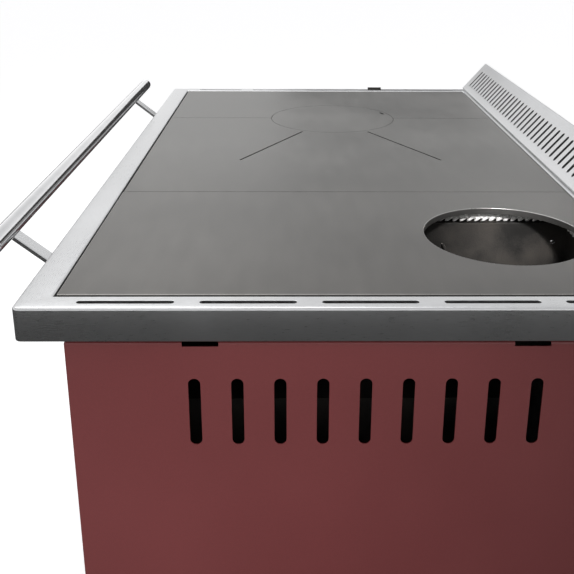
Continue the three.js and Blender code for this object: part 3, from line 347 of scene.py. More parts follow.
def brushed_steel(
    name: str, roughness: float, way: Axis = Axis.X, mitre: Point | None = None
) -> Material:
    """Stainless sheet with a fine brushed grain and faint wiping marks."""
    grain = Brushing(1500.0, 3.0, 0.6, relief=(0.06, 0.0001), way=way, mitre=mitre)
    wiping = Noise(9.0, 4.0, 0.4)
    span = (0.3, 0.7)
    return Finish(
        name,
        shades=either_side((0.72, 0.725, 0.73), 0.92, 1.05),
        roughness=(roughness - 0.05, roughness + 0.06),
        noises=(grain, wiping),
        colour_span=span,
        rough_span=span,
        constants={"Metallic": 1.0},
    ).material()


def polished_steel() -> Material:
    """Polished tube or rod, close to a mirror, with faint handling marks."""
    marks = Noise(40.0, 5.0)
    ripple = Noise(600.0, share=0.0, relief=(0.02, 0.0001))
    return Finish(
        "polished_steel",
        shades=either_side((0.8, 0.8, 0.81), 0.93, 1.0),
        roughness=(0.09, 0.14),
        noises=(marks, ripple),
        rough_span=(0.4, 0.7),
        constants={"Metallic": 1.0},
    ).material()


def ground_iron(name: str, dark: Point, light: Point, roughness: float) -> Material:
    """Cast iron ground flat and oiled: a satin grey with clouds and fine pores, and a painted shade that
    darkens it towards +X.
    """
    clouds = Noise(5.0, 5.0, 0.6)
    scuffs = Noise(1.0, 4.0, 0.3, stretch=(14.0, 60.0, 14.0))
    pores = Noise(1400.0, share=0.1, relief=(0.1, 0.0002))
    return Finish(
        name,
        shades=(dark, light),
        roughness=(roughness - 0.05, roughness + 0.07),
        noises=(clouds, scuffs, pores),
        # Painted shade: the plates darken towards +X, the near end, where less light reflects off them.
        painted_shade=PaintedShade(Axis.X, (-0.05, 0.5), (0.66, 0.65, 0.64)),
        constants={"Metallic": 0.9},
    ).material()


def enamel(name: str, colour: Point, roughness: float = 0.42) -> Material:
    """Baked coating on sheet steel, with a fine even texture, a slight sheen, and a painted shade that
    darkens it towards the rear.
    """
    grain = Noise(1500.0, share=0.5, relief=(0.12, 0.0003))
    drift = Noise(3.0, 3.0, 0.5)
    return Finish(
        name,
        shades=either_side(colour, 0.84, 1.14),
        roughness=(roughness - 0.06, roughness + 0.08),
        noises=(grain, drift),
        # Painted shade: the enamel darkens towards +Y, the rear, standing in for light that falls off there.
        painted_shade=PaintedShade(Axis.Y, (-0.02, 0.3), (0.6, 0.56, 0.56)),
        constants={"Coat_Weight": 0.15, "Coat_Roughness": 0.25},
    ).material()


def sooted_steel() -> Material:
    """Heat-blackened steel or iron, matt, with soot and rust-brown patches."""
    patches = Noise(22.0, 6.0, 0.7)
    grit = Noise(700.0, 3.0, 0.3, relief=(0.3, 0.0005))
    return Finish(
        "sooted_steel",
        shades=((0.018, 0.017, 0.016), (0.06, 0.052, 0.045)),
        roughness=(0.45, 0.8),
        noises=(patches, grit),
        colour_span=(0.4, 0.68),
        constants={"Metallic": 0.4},
    ).material()


def zinc_sheet() -> Material:
    """Galvanised sheet with its spangle."""
    drift = Noise(12.0, 4.0, 0.5, relief=(0.05, 0.0005))
    span = (0.25, 0.65)
    return Finish(
        "zinc_sheet",
        shades=((0.4, 0.41, 0.42), (0.55, 0.56, 0.57)),
        roughness=(0.38, 0.58),
        noises=(Spangle(90.0, share=0.5), drift),
        colour_span=span,
        rough_span=span,
        constants={"Metallic": 0.9},
    ).material()


def chamotte() -> Material:
    """Fired clay brick: sandy, rough and smoked in places."""
    smoke = Noise(7.0, 5.0, 0.75)
    grains = Noise(350.0, 4.0, 0.25, relief=(0.6, 0.001))
    return Finish(
        "chamotte",
        shades=((0.5, 0.37, 0.22), (0.12, 0.095, 0.07)),
        roughness=None,
        noises=(smoke, grains),
        colour_span=(0.45, 0.62),
        constants={"Roughness": 0.95},
    ).material()


def glass_fibre() -> Material:
    """Braided glass fibre rope yarn, pale grey and dull."""
    return Finish(
        "glass_fibre",
        shades=((0.42, 0.41, 0.4), (0.85, 0.84, 0.82)),
        roughness=None,
        noises=(Noise(1.0, 3.0, stretch=(900.0, 900.0, 1500.0), relief=(0.5, 0.0005)),),
        constants={"Roughness": 0.9, "Sheen_Weight": 0.25},
    ).material()


def furnace_glass() -> Material:
    """Heat-proof ceramic glass with a smoky tint."""
    return Finish(
        "furnace_glass",
        shades=None,
        roughness=(0.02, 0.07),
        noises=(Noise(15.0, 4.0),),
        constants={
            "Base_Color": (0.03, 0.032, 0.034, 1.0), "Alpha": 0.82,
            "Coat_Weight": 0.6, "Coat_Roughness": 0.03,
        },
    ).material()


def moulded(name: str, colour: Point, roughness: float) -> Material:
    """A moulded or printed plain surface, such as a knob, a foot or a dial."""
    return Finish(
        name,
        shades=either_side(colour, 0.88, 1.1),
        roughness=(roughness - 0.05, roughness + 0.08),
        noises=(Noise(1200.0, relief=(0.1, 0.0003)),),
    ).material()


class Palette:
    """Every finish of the cooker, made once."""

    def __init__(self) -> None:
        """Builds the materials."""
        low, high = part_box("top_frame")
        mitre = (high.x, (low.y + high.y) / 2, (high.y - low.y) / 2)
        self.frame_steel = brushed_steel("frame_steel", 0.3, mitre=mitre)
        self.riser_steel = brushed_steel("riser_steel", 0.36)
        self.post_steel = brushed_steel("post_steel", 0.26, Axis.Y)
        self.polished = polished_steel()
        self.iron = ground_iron("ground_iron", (0.2, 0.197, 0.19), (0.27, 0.266, 0.257), 0.42)
        # A brighter copy of the iron for the rounded edges of the plates and the lid: a painted highlight
        # along them.
        self.iron_highlight = ground_iron("iron_edge_painted_highlight", (0.42, 0.415, 0.4), (0.55, 0.54, 0.53), 0.3)
        self.red = enamel("red_enamel", (0.178, 0.03, 0.031))
        self.black = enamel("black_enamel", (0.012, 0.012, 0.013), 0.38)
        self.sooted = sooted_steel()
        self.zinc = zinc_sheet()
        self.brick = chamotte()
        self.rope = glass_fibre()
        self.glass = furnace_glass()
        self.knob = moulded("knob_plastic", (0.018, 0.018, 0.018), 0.45)
        self.rubber = moulded("foot_rubber", (0.02, 0.02, 0.02), 0.7)
        self.dial = moulded("dial_print", (0.75, 0.75, 0.72), 0.5)
        self.slots = {
            "stainless": self.frame_steel,
            "polished_steel": self.polished,
            "hotplate_iron": self.iron,
            "dark_steel": self.sooted,
            "red_enamel": self.red,
            "black_enamel": self.black,
            "zinc_sheet": self.zinc,
            "firebrick": self.brick,
            "rope": self.rope,
            "door_glass": self.glass,
            "knob_plastic": self.knob,
            "foot_rubber": self.rubber,
        }


# ---- meshes ------------------------------------------------------------------------------


def new_object(name: str, mesh: bpy.types.Mesh) -> Piece:
    """Links a mesh to the scene as an object."""
    piece = bpy.data.objects.new(name, mesh)
    bpy.context.scene.collection.objects.link(piece)
    return piece


def from_bmesh(name: str, built: bmesh.types.BMesh) -> Piece:
    """Turns a bmesh into an object and frees it."""
    mesh = bpy.data.meshes.new(name)
    built.to_mesh(mesh)
    built.free()
    return new_object(name, mesh)


def dress(piece: Piece, material: Material) -> Piece:
    """Gives a piece one material."""
    piece.data.materials.clear()
    piece.data.materials.append(material)
    return piece


def applied(piece: Piece) -> Piece:
    """Replaces a piece's mesh with the result of its modifiers, and removes them."""
    bpy.context.view_layer.update()
    graph = bpy.context.evaluated_depsgraph_get()
    mesh = bpy.data.meshes.new_from_object(
        piece.evaluated_get(graph), preserve_all_data_layers=True, depsgraph=graph
    )
    piece.modifiers.clear()
    piece.data = mesh
    return piece


def softened(
    piece: Piece,
    width: float,
    segments: int = 2,
    angle: float = 32.0,
    edge_highlight: Material | None = None,
) -> Piece:
    """Rounds a piece's sharp edges and keeps its flat faces flat in shading.

    Args:
        piece: the object, with clean closed geometry.
        width: the width of the rounded edge.
        segments: steps across it.
        angle: edges sharper than this many degrees are rounded.
        edge_highlight: a brighter finish for the rounded edges, a painted highlight, on a piece that already
            has its own.

    Returns:
        The same object.
    """
    limit = math.radians(angle)
    # The rounded edges get the brighter finish as a painted highlight.
    if edge_highlight:
        piece.data.materials.append(edge_highlight)
    piece.data.shade_smooth()
    piece.data.set_sharp_from_angle(angle=limit)
    bevel = piece.modifiers.new("edges", "BEVEL")
    bevel.width = width
    bevel.segments = segments
    bevel.limit_method = "ANGLE"
    bevel.angle_limit = limit
    bevel.harden_normals = True
    bevel.miter_outer = "MITER_ARC"
    bevel.material = 1 if edge_highlight else -1
    return applied(piece)


def refined(node: str, width: float, segments: int = 2, angle: float = 32.0) -> Piece:
    """A clean copy of a CAD node with rounded edges.

    Args:
        node: the CAD node to copy.
        width: the width of the rounded edges, or 0 for none.
        segments: steps across them.
        angle: edges sharper than this many degrees are rounded.

    Returns:
        The new object.
    """
    built = bmesh.new()
    built.from_mesh(frame["nodes"][node].data)
    bmesh.ops.remove_doubles(built, verts=built.verts, dist=2e-6)
    bmesh.ops.dissolve_limit(
        built, angle_limit=math.radians(0.4), verts=built.verts, edges=built.edges
    )
    piece = from_bmesh(f"{node}_finished", built)
    if width > 0:
        return softened(piece, width, segments, angle)
    piece.data.shade_smooth()
    piece.data.set_sharp_from_angle(angle=math.radians(angle))
    return piece


def lofted(name: str, rings: Sequence[Ring], closed: bool) -> Piece:
    """Joins rings of equal length into a skin.

    Args:
        name: the object's name.
        rings: loops of points, in order.
        closed: whether the last ring joins the first; if not, the ends are capped.

    Returns:
        The new object, with its faces pointing out.
    """
    built = bmesh.new()
    loops = [[built.verts.new(point) for point in ring] for ring in rings]
    pairs = list(zip(loops, loops[1:]))
    if closed:
        pairs.append((loops[-1], loops[0]))
    for first, second in pairs:
        for i in range(len(first)):
            j = (i + 1) % len(first)
            built.faces.new((first[i], first[j], second[j], second[i]))
    if not closed:
        built.faces.new(list(reversed(loops[0])))
        built.faces.new(loops[-1])
    bmesh.ops.recalc_face_normals(built, faces=built.faces)
    return from_bmesh(name, built)


def rounded_loop(
    low: Flat, high: Flat, radius: float, steps: int
) -> list[Flat]:
    """A rectangle with round corners as a loop of points.

    Args:
        low: the lowest corner.
        high: the highest corner.
        radius: the corners' radius.
        steps: points along each corner, less one.

    Returns:
        Points, counter-clockwise.
    """
    centres = [
        (high[0] - radius, low[1] + radius, -90),
        (high[0] - radius, high[1] - radius, 0),
        (low[0] + radius, high[1] - radius, 90),
        (low[0] + radius, low[1] + radius, 180),
    ]
    points = []
    for x, y, start in centres:
        for i in range(steps + 1):
            angle = math.radians(start + 90 * i / steps)
            points.append((x + radius * math.cos(angle), y + radius * math.sin(angle)))
    return points


def turned(
    name: str,
    profile: Sequence[Flat],
    origin: Point,
    way: Point,
    sides: int = 64,
    hollow: bool = False,
) -> Piece:
    """A piece turned on a lathe.

    Args:
        name: the object's name.
        profile: (radius, distance along the axis) from one end of the axis to the other.
        origin: the point where the distance is 0.
        way: the axis's direction.
        sides: facets round the axis.
        hollow: whether the profile's last point joins its first, as on a tube.

    Returns:
        The new object, smooth except at sharp turns of the profile.
    """
    turn = Vector((0, 0, 1)).rotation_difference(Vector(way)).to_matrix()
    built = bmesh.new()
    rows = []
    for radius, along in profile:
        count = sides if radius > 1e-7 else 1
        row = []
        for i in range(count):
            angle = 2 * math.pi * i / sides
            local = Vector((radius * math.cos(angle), radius * math.sin(angle), along))
            row.append(built.verts.new(Vector(origin) + turn @ local))
        rows.append(row)
    pairs = list(zip(rows, rows[1:]))
    if hollow:
        pairs.append((rows[-1], rows[0]))
    for first, second in pairs:
        for i in range(sides):
            j = (i + 1) % sides
            corners = [first[i % len(first)], first[j % len(first)]]
            corners += [second[j % len(second)], second[i % len(second)]]
            unique = list(dict.fromkeys(corners))
            if len(unique) > 2:
                built.faces.new(unique)
    bmesh.ops.recalc_face_normals(built, faces=built.faces)
    piece = from_bmesh(name, built)
    piece.data.shade_smooth()
    piece.data.set_sharp_from_angle(angle=math.radians(35))
    return piece


def arc(
    centre: Flat, radius: float, start: float, end: float, steps: int
) -> list[Flat]:
    """Points along an arc, with its angles in degrees."""
    angles = [math.radians(start + (end - start) * i / steps) for i in range(steps + 1)]
    return [(centre[0] + radius * math.cos(a), centre[1] + radius * math.sin(a)) for a in angles]


def joined(pieces: Iterable[Piece], name: str) -> Piece:
    """Joins several objects into one, keeping each one's materials and shading."""
    parts = list(pieces)
    with bpy.context.temp_override(
        active_object=parts[0], object=parts[0], selected_objects=parts, selected_editable_objects=parts
    ):
        bpy.ops.object.join()
    parts[0].name = name
    return parts[0]


def flat_face(name: str, corners: Sequence[Point]) -> Piece:
    """One flat face with its corners in order."""
    built = bmesh.new()
    built.faces.new([built.verts.new(corner) for corner in corners])
    return from_bmesh(name, built)


def block(name: str, low: Point, high: Point) -> Piece:
    """A plain block between two corners, to be cut or softened."""
    built = bmesh.new()
    bmesh.ops.create_cube(built, size=1.0)
    for vert in built.verts:
        share = [value + 0.5 for value in vert.co]
        vert.co = Vector([a + (b - a) * s for a, b, s in zip(low, high, share)])
    return from_bmesh(name, built)


def settle(
    piece: Piece, body: str, replaces: Sequence[str] = ()
) -> Piece:
    """Ties a finished piece to its body, and hides the CAD nodes it stands for."""
    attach(piece, body)
    if replaces:
        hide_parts(*replaces)
    log.info("%s rides on %s: %d faces", piece.name, body, len(piece.data.polygons))
    return piece


def settle_node(piece: Piece, node: str) -> Piece:
    """Ties a piece that stands for one CAD node."""
    return settle(piece, BODY_OF[node], [node])


def finish_node(node: str, material: Material, width: float, segments: int = 2) -> None:
    """Puts a copy of a CAD node, with rounded edges and a finish, in its place."""
    settle_node(dress(refined(node, width, segments), material), node)


# ---- geometry nodes ----------------------------------------------------------------------


class GeometryWriter:
    """Writes one Geometry Nodes tree with named inputs."""

    def __init__(self, name: str) -> None:
        """Starts a tree.

        Args:
            name: the tree's name.
        """
        self.tree = bpy.data.node_groups.new(name, "GeometryNodeTree")
        face = self.tree.interface
        face.new_socket("Geometry", in_out="INPUT", socket_type="NodeSocketGeometry")
        face.new_socket("Geometry", in_out="OUTPUT", socket_type="NodeSocketGeometry")
        self.source = self.tree.nodes.new("NodeGroupInput")
        self.sink = self.tree.nodes.new("NodeGroupOutput")
        self.values: dict[str, object] = {}

    def size(self, name: str, kind: str, value: object) -> Socket:
        """Adds a named input.

        Args:
            name: the input's name.
            kind: Float, Int, Vector, Material or Object.
            value: what the modifier sets it to.

        Returns:
            The socket inside the tree.
        """
        item = self.tree.interface.new_socket(
            name, in_out="INPUT", socket_type=f"NodeSocket{kind}"
        )
        self.values[item.identifier] = value
        return self.source.outputs[name]

    def node(self, kind: str, properties: dict[str, object], **inputs: object) -> bpy.types.Node:
        """Adds a node.

        Args:
            kind: the node's type, without its GeometryNode prefix.
            properties: settings on the node itself.
            inputs: its sockets, named with _ for a space: sockets to link or values.

        Returns:
            The node.
        """
        node = self.tree.nodes.new(kind if kind.startswith("Function") else f"GeometryNode{kind}")
        for key, value in properties.items():
            setattr(node, key, value)
        for key, value in inputs.items():
            socket = node.inputs[key.replace("_", " ")]
            if isinstance(value, Socket):
                self.tree.links.new(value, socket)
            else:
                socket.default_value = value
        return node

    def line(self, what: str, count: int, start: Point, step: Point) -> Socket:
        """A row of points, with inputs for how many, where the first is and the step."""
        row = self.node(
            "MeshLine", {"mode": "OFFSET"},
            Count=self.size("Count", "Int", count),
            Start_Location=self.size(f"First {what}", "Vector", start),
            Offset=self.size("Step", "Vector", step),
        )
        return row.outputs[0]

    def turned(self, angles: Socket) -> Socket:
        """A rotation from three angles."""
        turn = self.tree.nodes.new("FunctionNodeEulerToRotation")
        self.tree.links.new(angles, turn.inputs[0])
        return turn.outputs[0]

    def finish(self, geometry: Socket, material: Material) -> None:
        """Realizes the instances, sets the material and links the result."""
        real = self.node("RealizeInstances", {}, Geometry=geometry)
        finish = self.size("Finish", "Material", material)
        dressed = self.node("SetMaterial", {}, Geometry=real.outputs[0], Material=finish)
        self.tree.links.new(dressed.outputs[0], self.sink.inputs[0])

    def run(self, piece: Piece) -> Piece:
        """Runs the tree on a piece and keeps the plain mesh that it makes."""
        modifier = piece.modifiers.new("pattern", "NODES")
        modifier.node_group = self.tree
        for identifier, value in self.values.items():
            modifier[identifier] = value
        return applied(piece)


@dataclass
class SlotRow:
    """A row of round-ended slots cut through a sheet."""

    count: int
    start: Point
    step: Point
    length: float
    width: float
    depth: float
    turn: Point
    end_steps: int = 7

    def cut(self, sheet: Piece, material: Material) -> Piece:
        """Cuts the slots.

        Args:
            sheet: the closed sheet to cut.
            material: what the cut sheet is finished with.

        Returns:
            The same object.
        """
        writer = GeometryWriter("slot_row")
        width = writer.size("Slot width", "Float", self.width)
        outline = writer.node(
            "CurvePrimitiveQuadrilateral", {},
            Width=width, Height=writer.size("Slot length", "Float", self.length),
        )
        halved = writer.tree.nodes.new("ShaderNodeMath")
        halved.operation = "MULTIPLY"
        halved.inputs[1].default_value = 0.49
        writer.tree.links.new(width, halved.inputs[0])
        rounded = writer.node(
            "FilletCurve", {"mode": "POLY"},
            Curve=outline.outputs[0], Count=self.end_steps, Radius=halved.outputs[0],
        )
        depth = writer.node(
            "CurvePrimitiveLine", {},
            Start=writer.size("Bottom", "Vector", (0.0, 0.0, -self.depth / 2)),
            End=writer.size("Top", "Vector", (0.0, 0.0, self.depth / 2)),
        )
        cutter = writer.node(
            "CurveToMesh", {},
            Curve=depth.outputs[0], Profile_Curve=rounded.outputs[0], Fill_Caps=True,
        )
        line = writer.line("slot", self.count, self.start, self.step)
        turn = writer.turned(writer.size("Turn", "Vector", self.turn))
        placed = writer.node(
            "InstanceOnPoints", {}, Points=line, Instance=cutter.outputs[0], Rotation=turn
        )
        real = writer.node("RealizeInstances", {}, Geometry=placed.outputs[0])
        holed = writer.node("MeshBoolean", {"operation": "DIFFERENCE", "solver": "EXACT"})
        writer.tree.links.new(writer.source.outputs["Geometry"], holed.inputs["Mesh 1"])
        writer.tree.links.new(real.outputs[0], holed.inputs["Mesh 2"])
        writer.finish(holed.outputs[0], material)
        return writer.run(sheet)


@dataclass
class CopyRow:
    """Copies of one small piece, each moved and turned by an even step from the last."""

    count: int
    start: Point
    step: Point = (0.0, 0.0, 0.0)
    turn_step: Point = (0.0, 0.0, 0.0)

    def make(
        self, name: str, sample: Piece, material: Material
    ) -> Piece:
        """Makes the row and removes the sample.

        Args:
            name: the row's name.
            sample: the piece to copy, built round the origin.
            material: the copies' finish.

        Returns:
            One object that holds every copy.
        """
        writer = GeometryWriter(name)
        info = writer.node(
            "ObjectInfo", {"transform_space": "ORIGINAL"},
            Object=writer.size("Piece", "Object", sample),
        )
        line = writer.line("piece", self.count, self.start, self.step)
        turned_by = writer.tree.nodes.new("ShaderNodeVectorMath")
        turned_by.operation = "SCALE"
        index = writer.node("InputIndex", {})
        writer.tree.links.new(writer.size("Turn step", "Vector", self.turn_step), turned_by.inputs[0])
        writer.tree.links.new(index.outputs[0], turned_by.inputs["Scale"])
        turn = writer.turned(turned_by.outputs[0])
        placed = writer.node(
            "InstanceOnPoints", {}, Points=line, Instance=info.outputs["Geometry"], Rotation=turn
        )
        writer.finish(placed.outputs[0], material)
        piece = writer.run(new_object(name, bpy.data.meshes.new(name)))
        bpy.data.objects.remove(sample)
        return dress(piece, material)


# ---- shared shapes -----------------------------------------------------------------------


def rod(
    name: str, start: Point, end: Point, radius: float, sides: int = 48, dome: float = 0.0
) -> Piece:
    """A round bar with flat or domed ends.

    Args:
        name: the object's name.
        start: the middle of one end.
        end: the middle of the other end.
        radius: the bar's radius.
        sides: facets round the bar.
        dome: how far each end's rounding reaches along the bar, or 0 for flat ends.

    Returns:
        The new object.
    """
    way = Vector(end) - Vector(start)
    length = way.length
    if dome > 0:
        quarter = [math.radians(a) for a in range(0, 91, 15)]
        first = [(radius * math.sin(a), dome * (1 - math.cos(a))) for a in quarter]
        last = [(radius * math.cos(a), length - dome + dome * math.sin(a)) for a in quarter]
        profile = first + last[:-1] + [(0.0, length)]
    else:
        profile = [(0.0, 0.0), (radius, 0.0), (radius, length), (0.0, length)]
    return turned(name, profile, start, way.normalized(), sides)


def carved(
    piece: Piece, tools: Sequence[Piece], keep: bool = False
) -> Piece:
    """Cuts each tool out of a piece and removes the tools.

    Args:
        piece: the closed piece to cut.
        tools: closed solids.
        keep: keeps what lies inside the tools instead of cutting it away.

    Returns:
        The same object.
    """
    for tool in tools:
        cut = piece.modifiers.new("cut", "BOOLEAN")
        cut.operation = "INTERSECT" if keep else "DIFFERENCE"
        cut.solver = "EXACT"
        cut.object = tool
    applied(piece)
    for tool in tools:
        bpy.data.objects.remove(tool)
    return piece


def run_along_x(
    name: str, section: Sequence[Flat], low: float, high: float
) -> Piece:
    """A closed (y, z) section run along X between two places."""
    rings = [[(x, y, z) for y, z in section] for x in (low, high)]
    return lofted(name, rings, closed=False)


def sheet_section(
    path: Sequence[Flat], thickness: float
) -> list[Flat]:
    """The outline of a folded sheet from the line along its outer face.

    Args:
        path: points along one face of the sheet.
        thickness: the sheet's thickness, laid off to the left of the path.

    Returns:
        A closed outline.
    """
    inner = []
    last = len(path) - 1
    for i, (y, z) in enumerate(path):
        before, after = path[max(i - 1, 0)], path[min(i + 1, last)]
        way = Vector((after[0] - before[0], after[1] - before[1])).normalized()
        inner.append((y - way.y * thickness, z + way.x * thickness))
    return list(path) + inner[::-1]


def front_ring(
    name: str, low: Point, high: Point, width: float, soft: float
) -> Piece:
    """A rectangular frame facing the front, with softened edges.

    Args:
        name: the object's name.
        low: the lowest corner.
        high: the highest corner.
        width: the width of its four sides.
        soft: the width of its rounded edges.

    Returns:
        The new object.
    """
    ring = block(name, low, high)
    hole = block(
        "hole",
        (low[0] + width, low[1] - 1, low[2] + width),
        (high[0] - width, high[1] + 1, high[2] - width),
    )
    return softened(carved(ring, [hole]), soft)


def screw_sample(radius: float = 0.004, height: float = 0.0022) -> Piece:
    """A domed screw head with a cross recess, facing +Z round the origin."""
    profile = [(0.0, 0.0), (radius, 0.0), (radius, 0.25 * height)]
    profile += [(radius * math.cos(a), height * (0.25 + 0.75 * math.sin(a))) for a in (0.5, 0.95, 1.3)]
    head = turned("screw", profile + [(0.0, height)], (0, 0, 0), (0, 0, 1), 16)
    arm, half = 0.62 * radius, 0.13 * radius
    cross = [
        block("arm", (-x, -y, 0.45 * height), (x, y, 2 * height)) for x, y in ((arm, half), (half, arm))
    ]
    return carved(head, cross)


def facing(piece: Piece, way: Point) -> Piece:
    """Turns a piece built along +Z to point another way, in its mesh."""
    turn = Vector((0, 0, 1)).rotation_difference(Vector(way)).to_matrix().to_4x4()
    piece.data.transform(turn)
    return piece


@dataclass
class BraidedSide:
    """One straight side of a braided rope: a soft core under two rows of crossing strands."""

    start: Point
    end: Point
    outward: Point
    width: float
    pitch: float = 0.0094
    lean: float = 36.0
    sink: float = 0.16
    strand_offset: float = 0.21
    strand_size: Point = (0.27, 0.2, 0.56)

    def make(self, material: Material) -> Piece:
        """Builds the core and the strands of its outward face.

        Args:
            material: the rope's finish.

        Returns:
            One object.
        """
        start, end, face = Vector(self.start), Vector(self.end), Vector(self.outward)
        along = (end - start).normalized()
        across = face.cross(along)
        sunk = self.sink * self.width
        core = rod("core", tuple(start - face * sunk), tuple(end - face * sunk), 0.5 * self.width - sunk, 16)
        rows = [dress(core, material)]
        count = int((end - start).length / self.pitch)
        step = along * ((end - start).length / count)
        for side in (-1, 1):
            tilt = Matrix.Rotation(math.radians(side * self.lean), 3, face)
            strand = turned(
                "strand",
                [(0, -1.0), (0.55, -0.8), (0.95, -0.3), (0.95, 0.3), (0.55, 0.8), (0, 1.0)],
                (0, 0, 0),
                (0, 0, 1),
                8,
            )
            wide, deep, long = self.strand_size
            size = Matrix.Diagonal((wide * self.pitch, deep * self.width, long * self.pitch)).to_3x3()
            frame_of = Matrix((across, face, along)).transposed()
            strand.data.transform((tilt @ frame_of @ size).to_4x4())
            aside = side * self.strand_offset * self.width
            place = start + step * 0.5 + across * aside + face * sunk
            rows.append(CopyRow(count, tuple(place), tuple(step)).make("strands", strand, material))
        return joined(rows, "braid")


def braided_loop(
    name: str, corners: Sequence[Point], faces: Sequence[Point], width: float, material: Material
) -> Piece:
    """A rope seal round a rectangle.

    Args:
        name: the object's name.
        corners: the four corners of the rope's middle line.
        faces: the way that each side's strands face.
        width: the rope's width.
        material: its finish.

    Returns:
        One object.
    """
    ends = zip(corners, [*corners[1:], corners[0]], faces)
    return joined([BraidedSide(a, b, face, width).make(material) for a, b, face in ends], name)


@dataclass
class BarHandle:
    """A round bar on two legs, with domed ends and a washer under each leg."""

    node: str
    upright: bool
    leg_inset: float
    bar_radius: float = 0.007
    leg_radius: float = 0.005
    washer_radius: float = 0.009
    washer_height: float = 0.0018

    def build(self, palette: Palette) -> None:
        """Makes the handle in place of its CAD node.

        Args:
            palette: the finishes.
        """
        low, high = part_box(self.node)
        run = Axis.Z if self.upright else Axis.X
        middle = (low + high) / 2
        grip_y = low.y + self.bar_radius
        ends = []
        for value in (low[run.value], high[run.value]):
            point = Vector((middle.x, grip_y, middle.z))
            point[run.value] = value
            ends.append(point)
        bars = [rod("grip", ends[0], ends[1], self.bar_radius, 40, dome=0.35 * self.bar_radius)]
        inward = (ends[1] - ends[0]).normalized()
        for point, way in ((ends[0], 1), (ends[1], -1)):
            at = point + inward * (way * self.leg_inset)
            root = Vector((at.x, high.y, at.z))
            profile = [
                (0.0, 0.0), (self.washer_radius, 0.0), (self.washer_radius, self.washer_height),
                (self.leg_radius + 0.001, self.washer_height),
                (self.leg_radius, self.washer_height + 0.0015), (self.leg_radius, root.y - grip_y),
                (0.0, root.y - grip_y),
            ]
            bars.append(turned("leg", profile, root, (0, -1, 0), 36))
        piece = joined(bars, f"{self.node}_finished")
        settle_node(dress(piece, palette.polished), self.node)


# ---- studio ------------------------------------------------------------------------------


